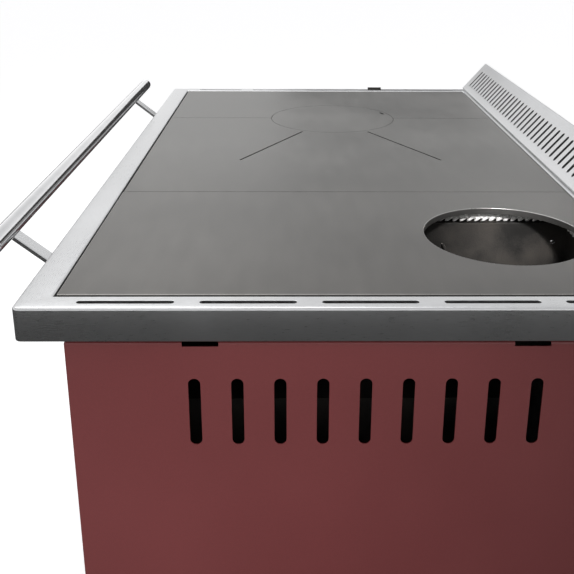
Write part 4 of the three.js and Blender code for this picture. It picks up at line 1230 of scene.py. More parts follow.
@dataclass
class Studio:
    """The floor, the light and the camera."""

    eye: Point = (1.2422, -0.0537, 1.1971)
    tilt: float = 0.3094
    yaw: float = 0.0139
    roll: float = -0.0053
    lens: float = 51.17
    slide: float = -0.0297
    rise: float = -0.169
    floor_size: float = 60.0
    floor_glow: float = 0.34
    floor_card_shade: float = 0.06
    wall_card_shade: float = 0.05
    wall_card_x: float = -2.5
    wall_card_span: Flat = (-0.08, 2.6)
    wall_card_height: float = 1.45

    def floor_corners(self, z: float) -> Ring:
        """The floor's corners at a height."""
        half = self.floor_size / 2
        return [(-half, -half, z), (half, -half, z), (half, half, z), (-half, half, z)]

    def camera(self) -> None:
        """Places the camera beside the right-hand end of the cooker."""
        level = math.cos(self.tilt)
        ahead = Vector((-math.cos(self.yaw) * level, math.sin(self.yaw) * level, -math.sin(self.tilt)))
        across = Vector((math.sin(self.yaw), math.cos(self.yaw), 0.0))
        down = ahead.cross(across)
        right = math.cos(self.roll) * across + math.sin(self.roll) * down
        under = -math.sin(self.roll) * across + math.cos(self.roll) * down
        lens = bpy.data.cameras.new("camera")
        lens.lens = self.lens
        lens.shift_x = self.slide
        lens.shift_y = self.rise
        lens.clip_end = 100.0
        holder = new_object("camera", lens)
        turn = Matrix((right, -under, -ahead)).transposed().to_4x4()
        holder.matrix_world = Matrix.Translation(self.eye) @ turn
        bpy.context.scene.camera = holder

    def floor(self) -> None:
        """A wide pale floor."""
        ground = flat_face("floor", self.floor_corners(0.0))
        shader = ShaderWriter("pale_floor")
        shader.set(
            Base_Color=(0.93, 0.93, 0.93, 1.0), Roughness=0.9, Specular_IOR_Level=0.2,
            Emission_Color=(1.0, 1.0, 1.0, 1.0), Emission_Strength=self.floor_glow,
        )
        dress(ground, shader.material)

    def world(self) -> None:
        """An even white sky, a little darker overhead."""
        sky = bpy.data.worlds.new("studio")
        bpy.context.scene.world = sky
        sky.use_nodes = True
        nodes, links = sky.node_tree.nodes, sky.node_tree.links
        place = nodes.new("ShaderNodeTexCoord")
        split = nodes.new("ShaderNodeSeparateXYZ")
        ramp = nodes.new("ShaderNodeValToRGB")
        ramp.color_ramp.elements[0].position = 0.15
        ramp.color_ramp.elements[0].color = (1.1, 1.1, 1.1, 1)
        ramp.color_ramp.elements[1].position = 0.55
        ramp.color_ramp.elements[1].color = (0.66, 0.66, 0.67, 1)
        links.new(place.outputs["Generated"], split.inputs[0])
        links.new(split.outputs["Z"], ramp.inputs["Fac"])
        links.new(ramp.outputs["Color"], nodes["Background"].inputs["Color"])

    def lamp(
        self, name: str, place: Point, aim: Point, size: float, power: float, spread: float = 180.0
    ) -> None:
        """A soft square lamp aimed at a point.

        Args:
            name: the lamp's name.
            place: where it hangs.
            aim: the point it faces.
            size: the length of its side.
            power: watts.
            spread: the full angle of its beam, in degrees.
        """
        light = bpy.data.lights.new(name, "AREA")
        light.spread = math.radians(spread)
        light.size = size
        light.energy = power
        holder = new_object(name, light)
        holder.location = place
        way = Vector(aim) - Vector(place)
        holder.rotation_euler = way.to_track_quat("-Z", "Y").to_euler()

    def dark_card(self, name: str, corners: Sequence[Point], shade: float) -> None:
        """A dark card that only reflections see.

        Args:
            name: the card's name.
            corners: its four corners in order.
            shade: how bright it is.
        """
        card = flat_face(name, corners)
        shader = ShaderWriter(name)
        shader.set(
            Base_Color=(0, 0, 0, 1), Specular_IOR_Level=0.0, Roughness=1.0,
            Emission_Color=(shade, shade, shade, 1), Emission_Strength=1.0,
        )
        dress(card, shader.material)
        card.visible_camera = False
        card.visible_diffuse = False
        card.visible_shadow = False
        card.visible_transmission = False

    def build(self) -> None:
        """Sets up the whole studio."""
        bpy.context.scene.view_settings.view_transform = "Standard"
        self.camera()
        self.floor()
        self.world()
        self.lamp("overhead", (-0.6, -0.8, 3.2), (0, 0, 0.8), 2.4, 34.0)
        self.lamp("into_the_flue", (1.15, 0.2, 1.55), (0.3, 0.22, 0.85), 0.12, 0.16, 12.0)
        self.dark_card("dark_floor_card", self.floor_corners(0.001), self.floor_card_shade)
        far, height = self.wall_card_x, self.wall_card_height
        near_y, far_y = self.wall_card_span
        wall = [(far, near_y, 0.0), (far, far_y, 0.0), (far, far_y, height), (far, near_y, height)]
        self.dark_card("dark_wall_card", wall, self.wall_card_shade)


# ---- the top -----------------------------------------------------------------------------


@dataclass
class TopFrame:
    """The folded stainless frame round the hotplates, with ventilation slots in its ends."""

    sheet: float = 0.003
    corner: float = 0.007
    edge: float = 0.003
    front_border: float = 0.033
    side_border: float = 0.027
    back_border: float = 0.0145
    lip: float = 0.0025
    lip_depth: float = 0.008
    inward_return: float = 0.012
    slot_count: int = 5
    slot_length: float = 0.0924
    slot_pitch: float = 0.1165
    slot_width: float = 0.0065
    slot_start: float = 0.0583

    def loop(self, inset: float, z: float) -> Ring:
        """A level loop inside the frame's outline."""
        low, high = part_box("top_frame")
        radius = max(self.corner - inset, 0.0012)
        flat = rounded_loop(
            (low.x + inset, low.y + inset), (high.x - inset, high.y - inset), radius, 8
        )
        return [(x, y, z) for x, y in flat]

    def mouth(self, grow: float, z: float) -> Ring:
        """A level loop round the opening that the hotplates fill."""
        low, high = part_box("top_frame")
        flat = rounded_loop(
            (low.x + self.side_border - grow, low.y + self.front_border - grow),
            (high.x - self.side_border + grow, high.y - self.back_border + grow),
            0.0012 + grow,
            8,
        )
        return [(x, y, z) for x, y in flat]

    def skin(self) -> Piece:
        """The folded sheet as a closed ring."""
        low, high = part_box("top_frame")
        top, bottom = high.z, low.z
        base = self.inward_return + self.sheet
        under = 0.001
        rings = [self.loop(base, bottom + self.sheet), self.loop(base, bottom)]
        for inset, z in arc((under, bottom + under), under, 270, 180, 4):
            rings.append(self.loop(inset, z))
        for inset, z in arc((self.edge, top - self.edge), self.edge, 180, 90, 6):
            rings.append(self.loop(inset, z))
        for shift, z in arc((0.0, top - self.lip), self.lip, 90, 0, 6):
            rings.append(self.mouth(self.lip - shift, z))
        rings.append(self.mouth(0.0, top - self.lip_depth))
        rings.append(self.mouth(0.0018, top - self.lip_depth))
        rings.append(self.mouth(0.0018, top - self.sheet))
        rings.append(self.loop(self.sheet, top - self.sheet))
        rings.append(self.loop(self.sheet, bottom + self.sheet))
        return lofted("top_frame_finished", rings, closed=True)

    def build(self, palette: Palette) -> None:
        """Makes the frame and cuts its slots."""
        low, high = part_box("top_frame")
        piece = self.skin()
        for x in (low.x + self.side_border / 2, high.x - self.side_border / 2):
            first = (x, low.y + self.slot_start + self.slot_length / 2, high.z - self.sheet / 2)
            row = SlotRow(
                self.slot_count, first, (0, self.slot_pitch, 0), self.slot_length, self.slot_width,
                4 * self.sheet, (0, 0, 0),
            )
            row.cut(piece, palette.frame_steel)
        softened(piece, 0.0004, 2, 40)
        settle_node(dress(piece, palette.frame_steel), "top_frame")


@dataclass
class Hotplates:
    """Three ground iron plates, the round lid, its lifting notch and the two heat slits."""

    edge: float = 0.0008
    lid_edge: float = 0.0004
    lid_centre: Flat = (-0.256, 0.01925)
    lid_gap: float = 0.0008
    lid_ledge: float = 0.008
    lid_seat: float = 0.0046
    seat_gap: float = 0.0003
    notch_angle: float = 113.0
    notch_length: float = 0.016
    notch_width: float = 0.005
    slit_angle: float = 27.8
    slit_start: float = 0.1215
    slit_end: float = 0.331
    slit_width: float = 0.003
    flue_centre: Flat = (0.3554, 0.19225)
    flue_radius: float = 0.093
    seam_close: float = 0.00035
    front_step: float = 0.001
    overcut: float = 0.03
    sides: int = 160

    def lid_radius(self) -> float:
        """The lid's radius, from its CAD node."""
        low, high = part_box("round_lid")
        return (high.x - low.x) / 2

    def recess(self) -> list[Piece]:
        """The two steps of the hole that the lid fills."""
        low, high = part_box("round_lid")
        seat = high.z - self.lid_seat - self.seat_gap
        radius = self.lid_radius() + self.lid_gap
        x, y = self.lid_centre
        return [
            rod("seat", (x, y, seat), (x, y, high.z + 0.02), radius, self.sides),
            rod("ledge", (x, y, low.z - 0.02), (x, y, seat + 0.001), radius - self.lid_ledge, self.sides),
        ]

    def stadium(self, length: float, width: float, middle: Point, turn: float) -> Piece:
        """A tall cutter with round ends, lying along a direction in degrees."""
        reach = (length - width) / 2
        outline = arc((reach, 0), width / 2, -90, 90, 10) + arc((-reach, 0), width / 2, 90, 270, 10)
        turned_by = Matrix.Rotation(math.radians(turn), 3, "Z")
        rings = []
        for z in (-self.overcut, self.overcut):
            rings.append([tuple(Vector(middle) + turned_by @ Vector((x, y, z))) for x, y in outline])
        return lofted("stadium", rings, closed=False)

    def slits(self) -> list[Piece]:
        """Cutters for the slits that run from the lid towards the flue."""
        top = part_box("hotplate_middle")[1].z
        middle = (self.slit_start + self.slit_end) / 2
        tools = []
        for side in (1, -1):
            angle = side * self.slit_angle
            x = self.lid_centre[0] + middle * math.cos(math.radians(angle))
            y = self.lid_centre[1] + middle * math.sin(math.radians(angle))
            length = self.slit_end - self.slit_start
            tools.append(self.stadium(length, self.slit_width, (x, y, top), angle))
        return tools

    def plate(self, node: str, tools: Sequence[Piece], palette: Palette) -> None:
        """One plate with its cuts and softened edges; the right one meets its neighbour closely."""
        low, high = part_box(node)
        if node == "hotplate_right":
            low.x -= self.seam_close
            low.y -= self.front_step
        if node == "hotplate_middle":
            high.x += self.seam_close
        piece = carved(block(f"{node}_finished", tuple(low), tuple(high)), tools)
        # The rounded edges take the brighter iron, a painted highlight.
        softened(dress(piece, palette.iron), self.edge, 3, 40, palette.iron_highlight)
        settle_node(piece, node)

    def lid(self, palette: Palette) -> None:
        """The round lid with a spigot below and a notch for the lifter."""
        low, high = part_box("round_lid")
        radius = self.lid_radius()
        spigot = radius + self.lid_gap - self.lid_ledge - 0.002
        seat = high.z - self.lid_seat
        x, y = self.lid_centre
        profile = [(0, low.z), (spigot, low.z), (spigot, seat), (radius, seat), (radius, high.z), (0, high.z)]
        disc = turned("round_lid_finished", profile, (x, y, 0), (0, 0, 1), self.sides)
        reach = radius - self.notch_width - 0.003
        angle = math.radians(self.notch_angle)
        place = (x + reach * math.cos(angle), y + reach * math.sin(angle), high.z)
        notch = self.stadium(self.notch_length, self.notch_width, place, self.notch_angle + 90)
        carved(disc, [notch])
        softened(dress(disc, palette.iron), self.lid_edge, 3, 40, palette.iron_highlight)
        settle_node(disc, "round_lid")

    def build(self, palette: Palette) -> None:
        """Makes the plates and the lid."""
        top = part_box("hotplate_right")[1].z
        x, y = self.flue_centre
        ends = [(x, y, top - self.overcut), (x, y, top + self.overcut)]
        hole = rod("hole", *ends, self.flue_radius, self.sides)
        self.plate("hotplate_left", self.recess(), palette)
        self.plate("hotplate_middle", self.recess() + self.slits(), palette)
        self.plate("hotplate_right", [hole], palette)
        self.lid(palette)


@dataclass
class RearRiser:
    """The leaning slotted sheet along the rear edge, with a rolled hem and end cheeks."""

    sheet: float = 0.0015
    setback: float = 0.64
    lean: float = 0.0445
    rise: float = 0.055
    hem: float = 0.003
    slot_pitch: float = 0.0208
    slot_width: float = 0.008
    slot_end: float = 0.024
    slot_margin: float = 0.015
    fold: float = 0.0025

    def section(self) -> list[Flat]:
        """The outline of the folded sheet in Y and Z."""
        frame_low, frame_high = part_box("top_frame")
        foot = (frame_low.y + self.setback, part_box("rear_riser")[0].z)
        slope = math.degrees(math.atan2(self.rise, self.lean))
        head = (foot[0] + self.lean, foot[1] + self.rise)
        hem_centre = (head[0] + self.hem, head[1] - 0.6 * self.hem)
        path = [(frame_high.y - 0.001, foot[1])]
        path += arc((foot[0] + self.fold, foot[1] + self.fold), self.fold, 270, 180 - (90 - slope), 5)
        path += arc(hem_centre, self.hem, 90 + slope, -60, 14)
        return sheet_section(path, -self.sheet)

    def cheek(self, x: float) -> Piece:
        """A triangular end plate."""
        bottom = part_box("rear_riser")[0].z
        frame_low, frame_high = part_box("top_frame")
        foot = frame_low.y + self.setback
        outline = [
            (foot + 0.004, bottom + 0.0002),
            (frame_high.y - 0.001, bottom + 0.0002),
            (foot + self.lean + 0.001, bottom + self.rise - 0.003),
        ]
        return softened(run_along_x("cheek", outline, x, x + self.sheet), 0.0003)

    def build(self, palette: Palette) -> None:
        """Makes the riser with its row of slots."""
        low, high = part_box("rear_riser")
        frame_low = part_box("top_frame")[0]
        length = high.x - low.x
        count = int((length - 2 * self.slot_end - self.slot_width) / self.slot_pitch) + 1
        slope = math.hypot(self.lean, self.rise)
        first = (
            (low.x + high.x) / 2 - (count - 1) / 2 * self.slot_pitch,
            frame_low.y + self.setback + self.lean / 2,
            low.z + self.rise / 2,
        )
        face = run_along_x("rear_riser_finished", self.section(), low.x, high.x)
        row = SlotRow(
            count, first, (self.slot_pitch, 0, 0), slope - 2 * self.slot_margin, self.slot_width,
            0.012, (math.atan2(self.rise, self.lean), 0, 0),
        )
        row.cut(face, palette.riser_steel)
        softened(face, 0.0003, 2, 40)
        cheeks = [self.cheek(low.x), self.cheek(high.x - self.sheet)]
        piece = joined([face, *cheeks], "rear_riser_finished")
        settle_node(dress(piece, palette.riser_steel), "rear_riser")


@dataclass
class TowelRail:
    """A polished tube with domed end caps on two flat brackets."""

    wall: float = 0.002
    cap_length: float = 0.007
    bracket_edge: float = 0.0009

    def cap(self, node: str, side: int, palette: Palette) -> None:
        """One domed end cap."""
        low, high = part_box(node)
        radius = (high.z - low.z) / 2
        outer = high.x if side > 0 else low.x
        centre = (outer - side * self.cap_length, (low.y + high.y) / 2, (low.z + high.z) / 2)
        spigot = radius - self.wall - 0.0003
        profile = [(0, -0.012), (spigot, -0.012), (spigot, 0.0003), (radius - 0.0003, 0.0003)]
        base = 0.0006
        dome = [math.radians(a) for a in range(0, 91, 10)]
        rise = self.cap_length - base
        profile += [(radius * math.cos(a), base + rise * math.sin(a)) for a in dome[:-1]]
        profile.append((0.0, self.cap_length))
        piece = turned(f"{node}_finished", profile, centre, (side, 0, 0), 72)
        settle_node(dress(piece, palette.polished), node)

    def build(self, palette: Palette) -> None:
        """Makes the tube, its caps and its brackets."""
        low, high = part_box("rail_tube")
        radius = (high.z - low.z) / 2
        centre = (low.x, (low.y + high.y) / 2, (low.z + high.z) / 2)
        inner = radius - self.wall
        length = high.x - low.x
        profile = [(radius - 0.0003, 0), (radius, 0.0003), (radius, length - 0.0003)]
        profile += [(radius - 0.0003, length), (inner, length), (inner, 0)]
        tube = turned("rail_tube_finished", profile, centre, (1, 0, 0), 96, hollow=True)
        settle_node(dress(tube, palette.polished), "rail_tube")
        self.cap("rail_cap_left", -1, palette)
        self.cap("rail_cap_right", 1, palette)
        for node in ("rail_post_left", "rail_post_right"):
            finish_node(node, palette.post_steel, self.bracket_edge, 3)


# ---- the body ----------------------------------------------------------------------------


@dataclass
class SidePanel:
    """A folded enamelled side with a row of upright vents and two notches under the top."""

    node: str
    side: int
    sheet: float = 0.0015
    fold_radius: float = 0.0028
    vent_count: int = 9
    vent_pitch: float = 0.0419
    vent_width: float = 0.012
    vent_height: float = 0.074
    vent_drop: float = 0.040
    notch_width: float = 0.035
    notch_first: float = 0.113
    notch_span: float = 0.320
    notch_depth: float = 0.005
    fold_reach: float = 0.01
    overcut: float = 0.02

    def build(self, palette: Palette) -> None:
        """Makes the panel in place of its CAD node."""
        low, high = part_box(self.node)
        right = self.side > 0
        outer = high.x if right else low.x
        slab_low, slab_high = list(low), list(high)
        (slab_low if right else slab_high)[0] -= self.side * self.fold_reach
        slab = softened(block(f"{self.node}_finished", slab_low, slab_high), self.fold_radius, 5)
        trim = block(
            "trim",
            (low.x if right else low.x - self.overcut, low.y - 1, low.z - 1),
            (high.x + self.overcut if right else high.x, high.y + 1, high.z + 1),
        )
        slab = carved(slab, [trim], keep=True)
        sheet = self.sheet
        hollow = block(
            "hollow",
            (low.x - self.overcut if right else low.x + sheet, low.y + sheet, low.z + sheet),
            (high.x - sheet if right else high.x + self.overcut, high.y - sheet, high.z - sheet),
        )
        notches = []
        for offset in (0.0, self.notch_span):
            start = low.y + self.notch_first + offset
            notches.append(block(
                "notch",
                (low.x - 0.01, start, high.z - self.notch_depth),
                (high.x + 0.01, start + self.notch_width, high.z + 0.01),
            ))
        piece = carved(slab, [hollow, *notches])
        middle = (low.y + high.y) / 2 - (self.vent_count - 1) / 2 * self.vent_pitch
        first = (outer, middle, high.z - self.vent_drop - self.vent_height / 2)
        row = SlotRow(
            self.vent_count, first, (0, self.vent_pitch, 0), self.vent_height, self.vent_width,
            0.008, (math.pi / 2, 0, math.pi / 2),
        )
        row.cut(piece, palette.red)
        softened(piece, 0.0003, 2, 50)
        settle_node(dress(piece, palette.red), self.node)


@dataclass
class BackPanel:
    """The plain rear sheet with vents and a border of screws."""

    vent_count: int = 12
    vent_pitch: float = 0.0838
    vent_width: float = 0.012
    vent_height: float = 0.074
    vent_drop: float = 0.120
    screw_inset: float = 0.018
    screw_columns: int = 8
    screw_rows: int = 5

    def build(self, palette: Palette) -> None:
        """Makes the sheet and its screws."""
        low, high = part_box("back_panel")
        sheet = block("back_panel_finished", tuple(low), tuple(high))
        middle_x = (low.x + high.x) / 2
        first = (middle_x - (self.vent_count - 1) / 2 * self.vent_pitch, high.y, high.z - self.vent_drop)
        row = SlotRow(
            self.vent_count, first, (self.vent_pitch, 0, 0), self.vent_height, self.vent_width,
            0.012, (math.pi / 2, 0, 0),
        )
        row.cut(sheet, palette.zinc)
        softened(sheet, 0.0003, 2, 40)
        settle_node(dress(sheet, palette.zinc), "back_panel")
        inset = self.screw_inset
        across = (high.x - low.x - 2 * inset) / (self.screw_columns - 1)
        up = (high.z - low.z - 2 * inset) / (self.screw_rows - 1)
        rows = []
        for z in (low.z + inset, high.z - inset):
            start = (low.x + inset, high.y, z)
            rows.append(CopyRow(self.screw_columns, start, (across, 0, 0)))
        for x in (low.x + inset, high.x - inset):
            start = (x, high.y, low.z + inset + up)
            rows.append(CopyRow(self.screw_rows - 2, start, (0, 0, up)))
        made = [
            row.make("screws", facing(screw_sample(), (0, 1, 0)), palette.polished) for row in rows
        ]
        settle(joined(made, "back_panel_screws"), "cabinet")


@dataclass
class BodyShell:
    """The fascia, the pans, the plinth, the carrier ring and the feet."""

    edges: dict[str, float] = field(default_factory=lambda: {
        "front_fascia": 0.0008,
        "plate_carrier": 0.0008,
        "base_pan": 0.0005,
        "mid_shelf": 0.0005,
        "plinth": 0.001,
        "edge_clip": 0.0004,
        # riser_back is a dark steel sheet behind the riser's slots, a painted shade that makes the slots read
        # black.
        "riser_back": 0.0,
    })

    def foot(self, node: str, palette: Palette) -> None:
        """A levelling foot: a ribbed rubber pad under a threaded stem."""
        low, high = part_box(node)
        x, y = (low.x + high.x) / 2, (low.y + high.y) / 2
        radius = (high.x - low.x) / 2
        pad = [(0, 0), (radius - 0.002, 0), (radius, 0.002), (radius, 0.0035), (radius - 0.001, 0.004)]
        pad += [(radius - 0.001, 0.005), (radius, 0.0055), (radius, 0.0075), (radius - 0.0015, 0.009)]
        pad += [(0.009, 0.012), (0.0, 0.012)]
        rubber = dress(turned("pad", pad, (x, y, 0), (0, 0, 1), 48), palette.rubber)
        stem = []
        pitch = 0.0015
        z = 0.0122
        stem.append((0.0, z))
        while z < high.z - pitch:
            stem += [(0.0056, z), (0.006, z + 0.4 * pitch)]
            z += pitch
        stem += [(0.0056, high.z), (0.0, high.z)]
        thread = dress(turned("stem", stem, (x, y, 0), (0, 0, 1), 24), palette.zinc)
        settle(joined([rubber, thread], f"{node}_finished"), "cabinet", [node])

    def build(self, palette: Palette) -> None:
        """Makes the shell's pieces."""
        for node, width in self.edges.items():
            finish_node(node, palette.slots[SLOT_OF[node]], width)
        for node in ("foot_front_left", "foot_rear_left", "foot_front_right", "foot_rear_right"):
            self.foot(node, palette)


# ---- doors and drawers -------------------------------------------------------------------


@dataclass
class GlazedDoor:
    """An enamelled door with a window, a trim, a rope seal and a bar handle; Hinges makes its hinges."""

    body: str
    handle: BarHandle
    pane_margin: float = 0.012
    trim_width: float = 0.008
    trim_height: float = 0.0014
    rope_width: float = 0.0072

    def trim(self, palette: Palette) -> None:
        """A stainless frame round the window, on the door's face."""
        pane_low, pane_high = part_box(f"{self.body}_glass")
        face = self.face_y()
        inset = self.pane_margin - self.trim_width - 0.0008
        ring = front_ring(
            f"{self.body}_window_trim",
            (pane_low.x + inset, face - self.trim_height, pane_low.z + inset),
            (pane_high.x - inset, face + 0.0006, pane_high.z - inset),
            self.trim_width,
            0.0005,
        )
        settle(dress(ring, palette.post_steel), self.body)

    def face_y(self) -> float:
        """Where the door's front face lies."""
        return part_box(f"{self.body}_handle")[1].y + 0.0003

    def seal(self, palette: Palette) -> None:
        """The braided rope on the back of the door."""
        node = f"{self.body}_seal"
        low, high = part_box(node)
        half = 0.005
        y = (low.y + high.y) / 2
        corners = [
            (low.x + half, y, low.z + half), (high.x - half, y, low.z + half),
            (high.x - half, y, high.z - half), (low.x + half, y, high.z - half),
        ]
        width = min(self.rope_width, (high.y - low.y) / 0.86)
        rope = braided_loop(f"{node}_finished", corners, [(0, 1, 0)] * 4, width, palette.rope)
        settle_node(rope, node)

    def build(self, palette: Palette) -> None:
        """Makes the door and everything on it."""
        finish_node(self.body, palette.red, 0.0012, 3)
        finish_node(f"{self.body}_glass", palette.glass, 0.0004)
        self.trim(palette)
        self.seal(palette)
        self.handle.build(palette)


@dataclass
class Hinges:
    """The fixed hinge brackets, each with a domed pin head at both ends."""

    edge: float = 0.0005
    head: float = 0.0045

    def bracket(self, node: str, pivot: Point, line: Axis, palette: Palette) -> None:
        """One bracket with its pin heads.

        Args:
            node: the bracket's CAD node.
            pivot: a point on the pin's line.
            line: the way the pin runs.
            palette: the finishes.
        """
        low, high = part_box(node)
        pieces = [dress(refined(node, self.edge), palette.black)]
        radius = self.head
        profile = [(0, -0.001), (radius, -0.001), (radius, 0.0005), (radius - 0.001, 0.0012), (0, 0.0014)]
        for end, side in ((low, -1), (high, 1)):
            centre = list(pivot)
            centre[line.value] = end[line.value]
            way = [0.0, 0.0, 0.0]
            way[line.value] = side
            pieces.append(dress(turned("head", profile, tuple(centre), tuple(way), 24), palette.polished))
        settle_node(joined(pieces, f"{node}_finished"), node)

    def build(self, palette: Palette) -> None:
        """Makes all four brackets."""
        for end in ("lower", "upper"):
            self.bracket(f"fire_door_hinge_{end}", PIVOT_OF["fire_door_hinge"], Axis.Z, palette)
        for end in ("left", "right"):
            self.bracket(f"oven_door_hinge_{end}", PIVOT_OF["oven_door_hinge"], Axis.X, palette)


@dataclass
class Thermometer:
    """The oven thermometer: a steel case, a printed dial and a needle."""

    ticks: int = 25
    sweep: float = 240.0
    rim: float = 0.004

    def build(self, palette: Palette) -> None:
        """Makes the case with its dial, and the needle."""
        low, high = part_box("thermometer_case")
        radius = (high.x - low.x) / 2
        x, z = (low.x + high.x) / 2, (low.z + high.z) / 2
        face_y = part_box("fire_door_handle")[1].y + 0.0003
        cup = radius - self.rim
        depth = face_y - low.y
        outline = [
            (0, -0.014), (cup - 0.004, -0.014), (cup - 0.004, 0.0003), (radius - 0.0005, 0.0003),
            (radius, 0.0009), (radius, depth - 0.0022),
        ]
        outline += arc((radius - 0.0022, depth - 0.0022), 0.0022, 15, 150, 7)
        outline += [(cup, depth - 0.0012), (cup, 0.003), (0.0022, 0.003), (0.0022, 0.001), (0, 0.001)]
        case = dress(turned("case", outline, (x, face_y, z), (0, -1, 0), 72), palette.polished)
        dial_y = face_y - 0.0031
        dial = turned(
            "dial", [(0.0024, 0), (cup - 0.0002, 0), (cup - 0.0002, 0.0004), (0.0024, 0.0004)],
            (x, dial_y, z), (0, -1, 0), 72, hollow=True,
        )
        dress(dial, palette.dial)
        marks = []
        step = math.radians(self.sweep) / (self.ticks - 1)
        start = -math.radians(self.sweep) / 2
        for every, count, tall, wide in ((1, self.ticks, 0.0028, 0.0006), (4, 7, 0.0048, 0.001)):
            tick = block(
                "tick", (-wide / 2, -0.0005, cup - 0.0015 - tall), (wide / 2, -0.0003, cup - 0.0015)
            )
            tick.data.transform(Matrix.Rotation(start, 4, "Y"))
            row = CopyRow(count, (x, dial_y, z), turn_step=(0, every * step, 0))
            marks.append(row.make("ticks", tick, palette.knob))
        piece = joined([case, dial, *marks], "thermometer_case_finished")
        settle_node(piece, "thermometer_case")
        finish_node("thermometer_needle", palette.knob, 0.0002)


@dataclass
class AshDrawer:
    """The ash drawer's front, its pan, its handle and the round air valve."""

    valve_holes: int = 6
    hole_radius: float = 0.005
    hole_circle: float = 0.022
    thickness: float = 0.005

    def valve(self, palette: Palette) -> None:
        """A turning disc with air holes and a grip across it."""
        low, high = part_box("air_valve")
        x, z = (low.x + high.x) / 2, (low.z + high.z) / 2
        radius = (high.x - low.x) / 2
        face_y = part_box("ash_drawer_handle")[1].y
        profile = [(0, 0), (radius - 0.0006, 0), (radius, 0.0006), (radius, self.thickness - 0.0015)]
        profile += [(radius - 0.0015, self.thickness), (0, self.thickness)]
        disc = turned("disc", profile, (x, face_y, z), (0, -1, 0), 72)
        holes = []
        for i in range(self.valve_holes):
            angle = 2 * math.pi * i / self.valve_holes
            hx, hz = x + self.hole_circle * math.cos(angle), z + self.hole_circle * math.sin(angle)
            holes.append(rod("hole", (hx, face_y - 0.02, hz), (hx, face_y + 0.02, hz), self.hole_radius, 28))
        disc = softened(carved(disc, holes), 0.0005, 2, 40)
        reach = face_y - low.y
        knob = [(0, 0.004), (0.0095, 0.004), (0.0085, 0.0055), (0.0085, reach - 0.002)]
        knob += [(0.0078, reach - 0.0006), (0.0065, reach), (0, reach)]
        grip = turned("grip", knob, (x, face_y, z), (0, -1, 0), 40)
        arbor = rod("arbor", (x, face_y - 0.002, z), (x, high.y, z), 0.0035, 24)
        piece = joined([disc, grip, arbor], "air_valve_finished")
        settle_node(dress(piece, palette.black), "air_valve")

    def build(self, palette: Palette) -> None:
        """Makes the drawer and the valve."""
        finish_node("ash_drawer_front", palette.red, 0.0012, 3)
        finish_node("ash_pan", palette.zinc, 0.0005)
        BarHandle("ash_drawer_handle", False, 0.02).build(palette)
        self.valve(palette)


@dataclass
class StorageDrawer:
    """A deep drawer under the fire or the oven."""

    node: str

    def build(self, palette: Palette) -> None:
        """Makes the drawer and its handle."""
        finish_node(self.node, palette.red, 0.0007)
        BarHandle(f"{self.node}_handle", False, 0.025).build(palette)


# ---- fire, oven and flue -----------------------------------------------------------------


@dataclass
class Firebox:
    """The casing, its bricks, the grate, the riddling rod and the door's retainer."""

    knob_radius: float = 0.011

    def build(self, palette: Palette) -> None:
        """Makes the firebox's pieces."""
        finish_node("firebox_casing", palette.sooted, 0.0006)
        for side in ("left", "right", "back"):
            finish_node(f"firebrick_{side}", palette.brick, 0.003, 3)
        finish_node("grate", palette.sooted, 0.0012)
        finish_node("fire_door_retainer", palette.sooted, 0.0006)
        self.rod(palette)

    def rod(self, palette: Palette) -> None:
        """The rod that shakes the grate, with a waisted knob."""
        low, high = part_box("riddle_rod")
        x, z = (low.x + high.x) / 2, (low.z + high.z) / 2
        radius = self.knob_radius
        knob = [(0, 0)] + arc((radius - 0.003, 0.003), 0.003, 270, 360, 5)
        knob += [(radius, 0.012), (radius - 0.0015, 0.0135), (0.0065, 0.016), (0.005, 0.0175)]
        knob += [(0.005, high.y - low.y - 0.0006), (0.0044, high.y - low.y), (0, high.y - low.y)]
        piece = turned("riddle_rod_finished", knob, (x, low.y, z), (0, 1, 0), 48)
        settle_node(dress(piece, palette.polished), "riddle_rod")


@dataclass
class Oven:
    """The oven's box and its wire rack."""

    wire: float = 0.0025
    bar: float = 0.002
    bars: int = 21

    def build(self, palette: Palette) -> None:
        """Makes the box and the rack."""
        finish_node("oven_box", palette.sooted, 0.0006)
        low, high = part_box("oven_rack")
        z = (low.z + high.z) / 2
        left, right = low.x + self.wire, high.x - self.wire
        front, back = low.y + self.wire, high.y - self.wire
        corners = [(left, front, z), (right, front, z), (right, back, z), (left, back, z)]
        wires = [
            rod("wire", corners[i], corners[(i + 1) % 4], self.wire, 20, dome=self.wire) for i in range(4)
        ]
        for wire in wires:
            dress(wire, palette.polished)
        pitch = (right - left) / (self.bars + 1)
        sample = rod("bar", (0, front, z), (0, back, z), self.bar, 12)
        row = CopyRow(self.bars, (left + pitch, 0, 0), (pitch, 0, 0))
        wires.append(row.make("bars", sample, palette.polished))
        settle_node(joined(wires, "oven_rack_finished"), "oven_rack")


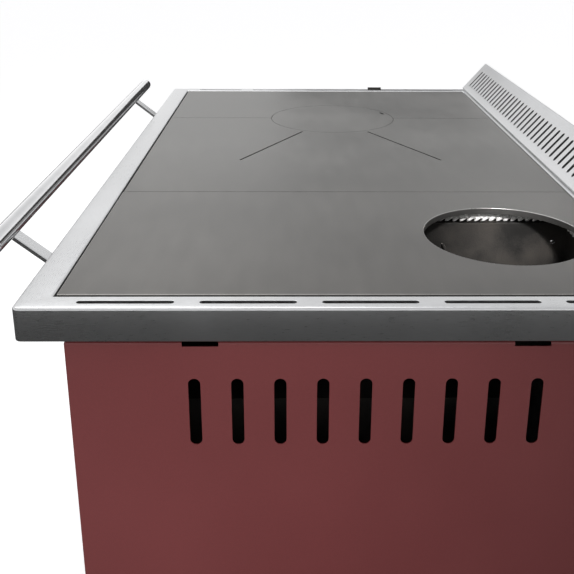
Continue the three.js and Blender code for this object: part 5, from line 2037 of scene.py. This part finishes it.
@dataclass
class Flue:
    """The flue box under the hotplate, its rope seal, its damper and one screw."""

    rope_width: float = 0.0125
    knob_radius: float = 0.013
    screw_radius: float = 0.0035
    screw_height: float = 0.002
    screw_inset: Flat = (0.022, 0.02)
    screw_z: float = 0.812

    def rope(self, palette: Palette) -> None:
        """The braided rope round the mouth of the flue box."""
        low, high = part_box("flue_rope_seal")
        half = self.rope_width / 2
        z = (low.z + high.z) / 2
        left, right = low.x + half, high.x - half
        front, back = low.y + half, high.y - half
        corners = [(left, front, z), (right, front, z), (right, back, z), (left, back, z)]
        inward = [(0, 1, 0), (-1, 0, 0), (0, -1, 0), (1, 0, 0)]
        rope = braided_loop("flue_rope_seal_finished", corners, inward, self.rope_width, palette.rope)
        settle_node(rope, "flue_rope_seal")

    def damper(self, palette: Palette) -> None:
        """The flap on its rod, and the pull knob outside."""
        finish_node("damper", palette.sooted, 0.0005)
        low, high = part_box("damper_knob")
        x, z = (low.x + high.x) / 2, (low.z + high.z) / 2
        radius, length = self.knob_radius, high.y - low.y
        profile = [(0, 0), (radius - 0.005, 0.0)]
        profile += arc((radius - 0.004, 0.004), 0.004, 275, 360, 6)
        profile += [(radius, length - 0.009), (radius - 0.001, length - 0.0075), (0.008, length - 0.001)]
        profile += [(0.0075, length), (0, length)]
        knob = turned("damper_knob_finished", profile, (x, low.y, z), (0, 1, 0), 60)
        settle_node(dress(knob, palette.knob), "damper_knob")

    def build(self, palette: Palette) -> None:
        """Makes the flue's pieces."""
        finish_node("flue_box", palette.sooted, 0.0006)
        self.rope(palette)
        self.damper(palette)
        low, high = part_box("flue_box")
        screw = facing(screw_sample(self.screw_radius, self.screw_height), (1, 0, 0))
        across, back = self.screw_inset
        row = CopyRow(1, (low.x + across, high.y - back, self.screw_z))
        settle(row.make("flue_box_screw", screw, palette.polished), "cabinet")


def main() -> None:
    """Builds the cooker and the studio."""
    logging.basicConfig(level=logging.INFO, format="%(name)s: %(message)s")
    Studio().build()
    palette = Palette()
    parts = [
        TopFrame(),
        Hotplates(),
        RearRiser(),
        TowelRail(),
        SidePanel("side_panel_right", 1),
        SidePanel("side_panel_left", -1),
        BackPanel(),
        BodyShell(),
        GlazedDoor("fire_door", BarHandle("fire_door_handle", True, 0.02)),
        GlazedDoor("oven_door", BarHandle("oven_door_handle", False, 0.03)),
        Hinges(),
        Thermometer(),
        AshDrawer(),
        StorageDrawer("wood_drawer"),
        StorageDrawer("tool_drawer"),
        Firebox(),
        Oven(),
        Flue(),
    ]
    for part in parts:
        log.info("building %s", type(part).__name__)
        part.build(palette)


if __name__ == "__main__":
    main()
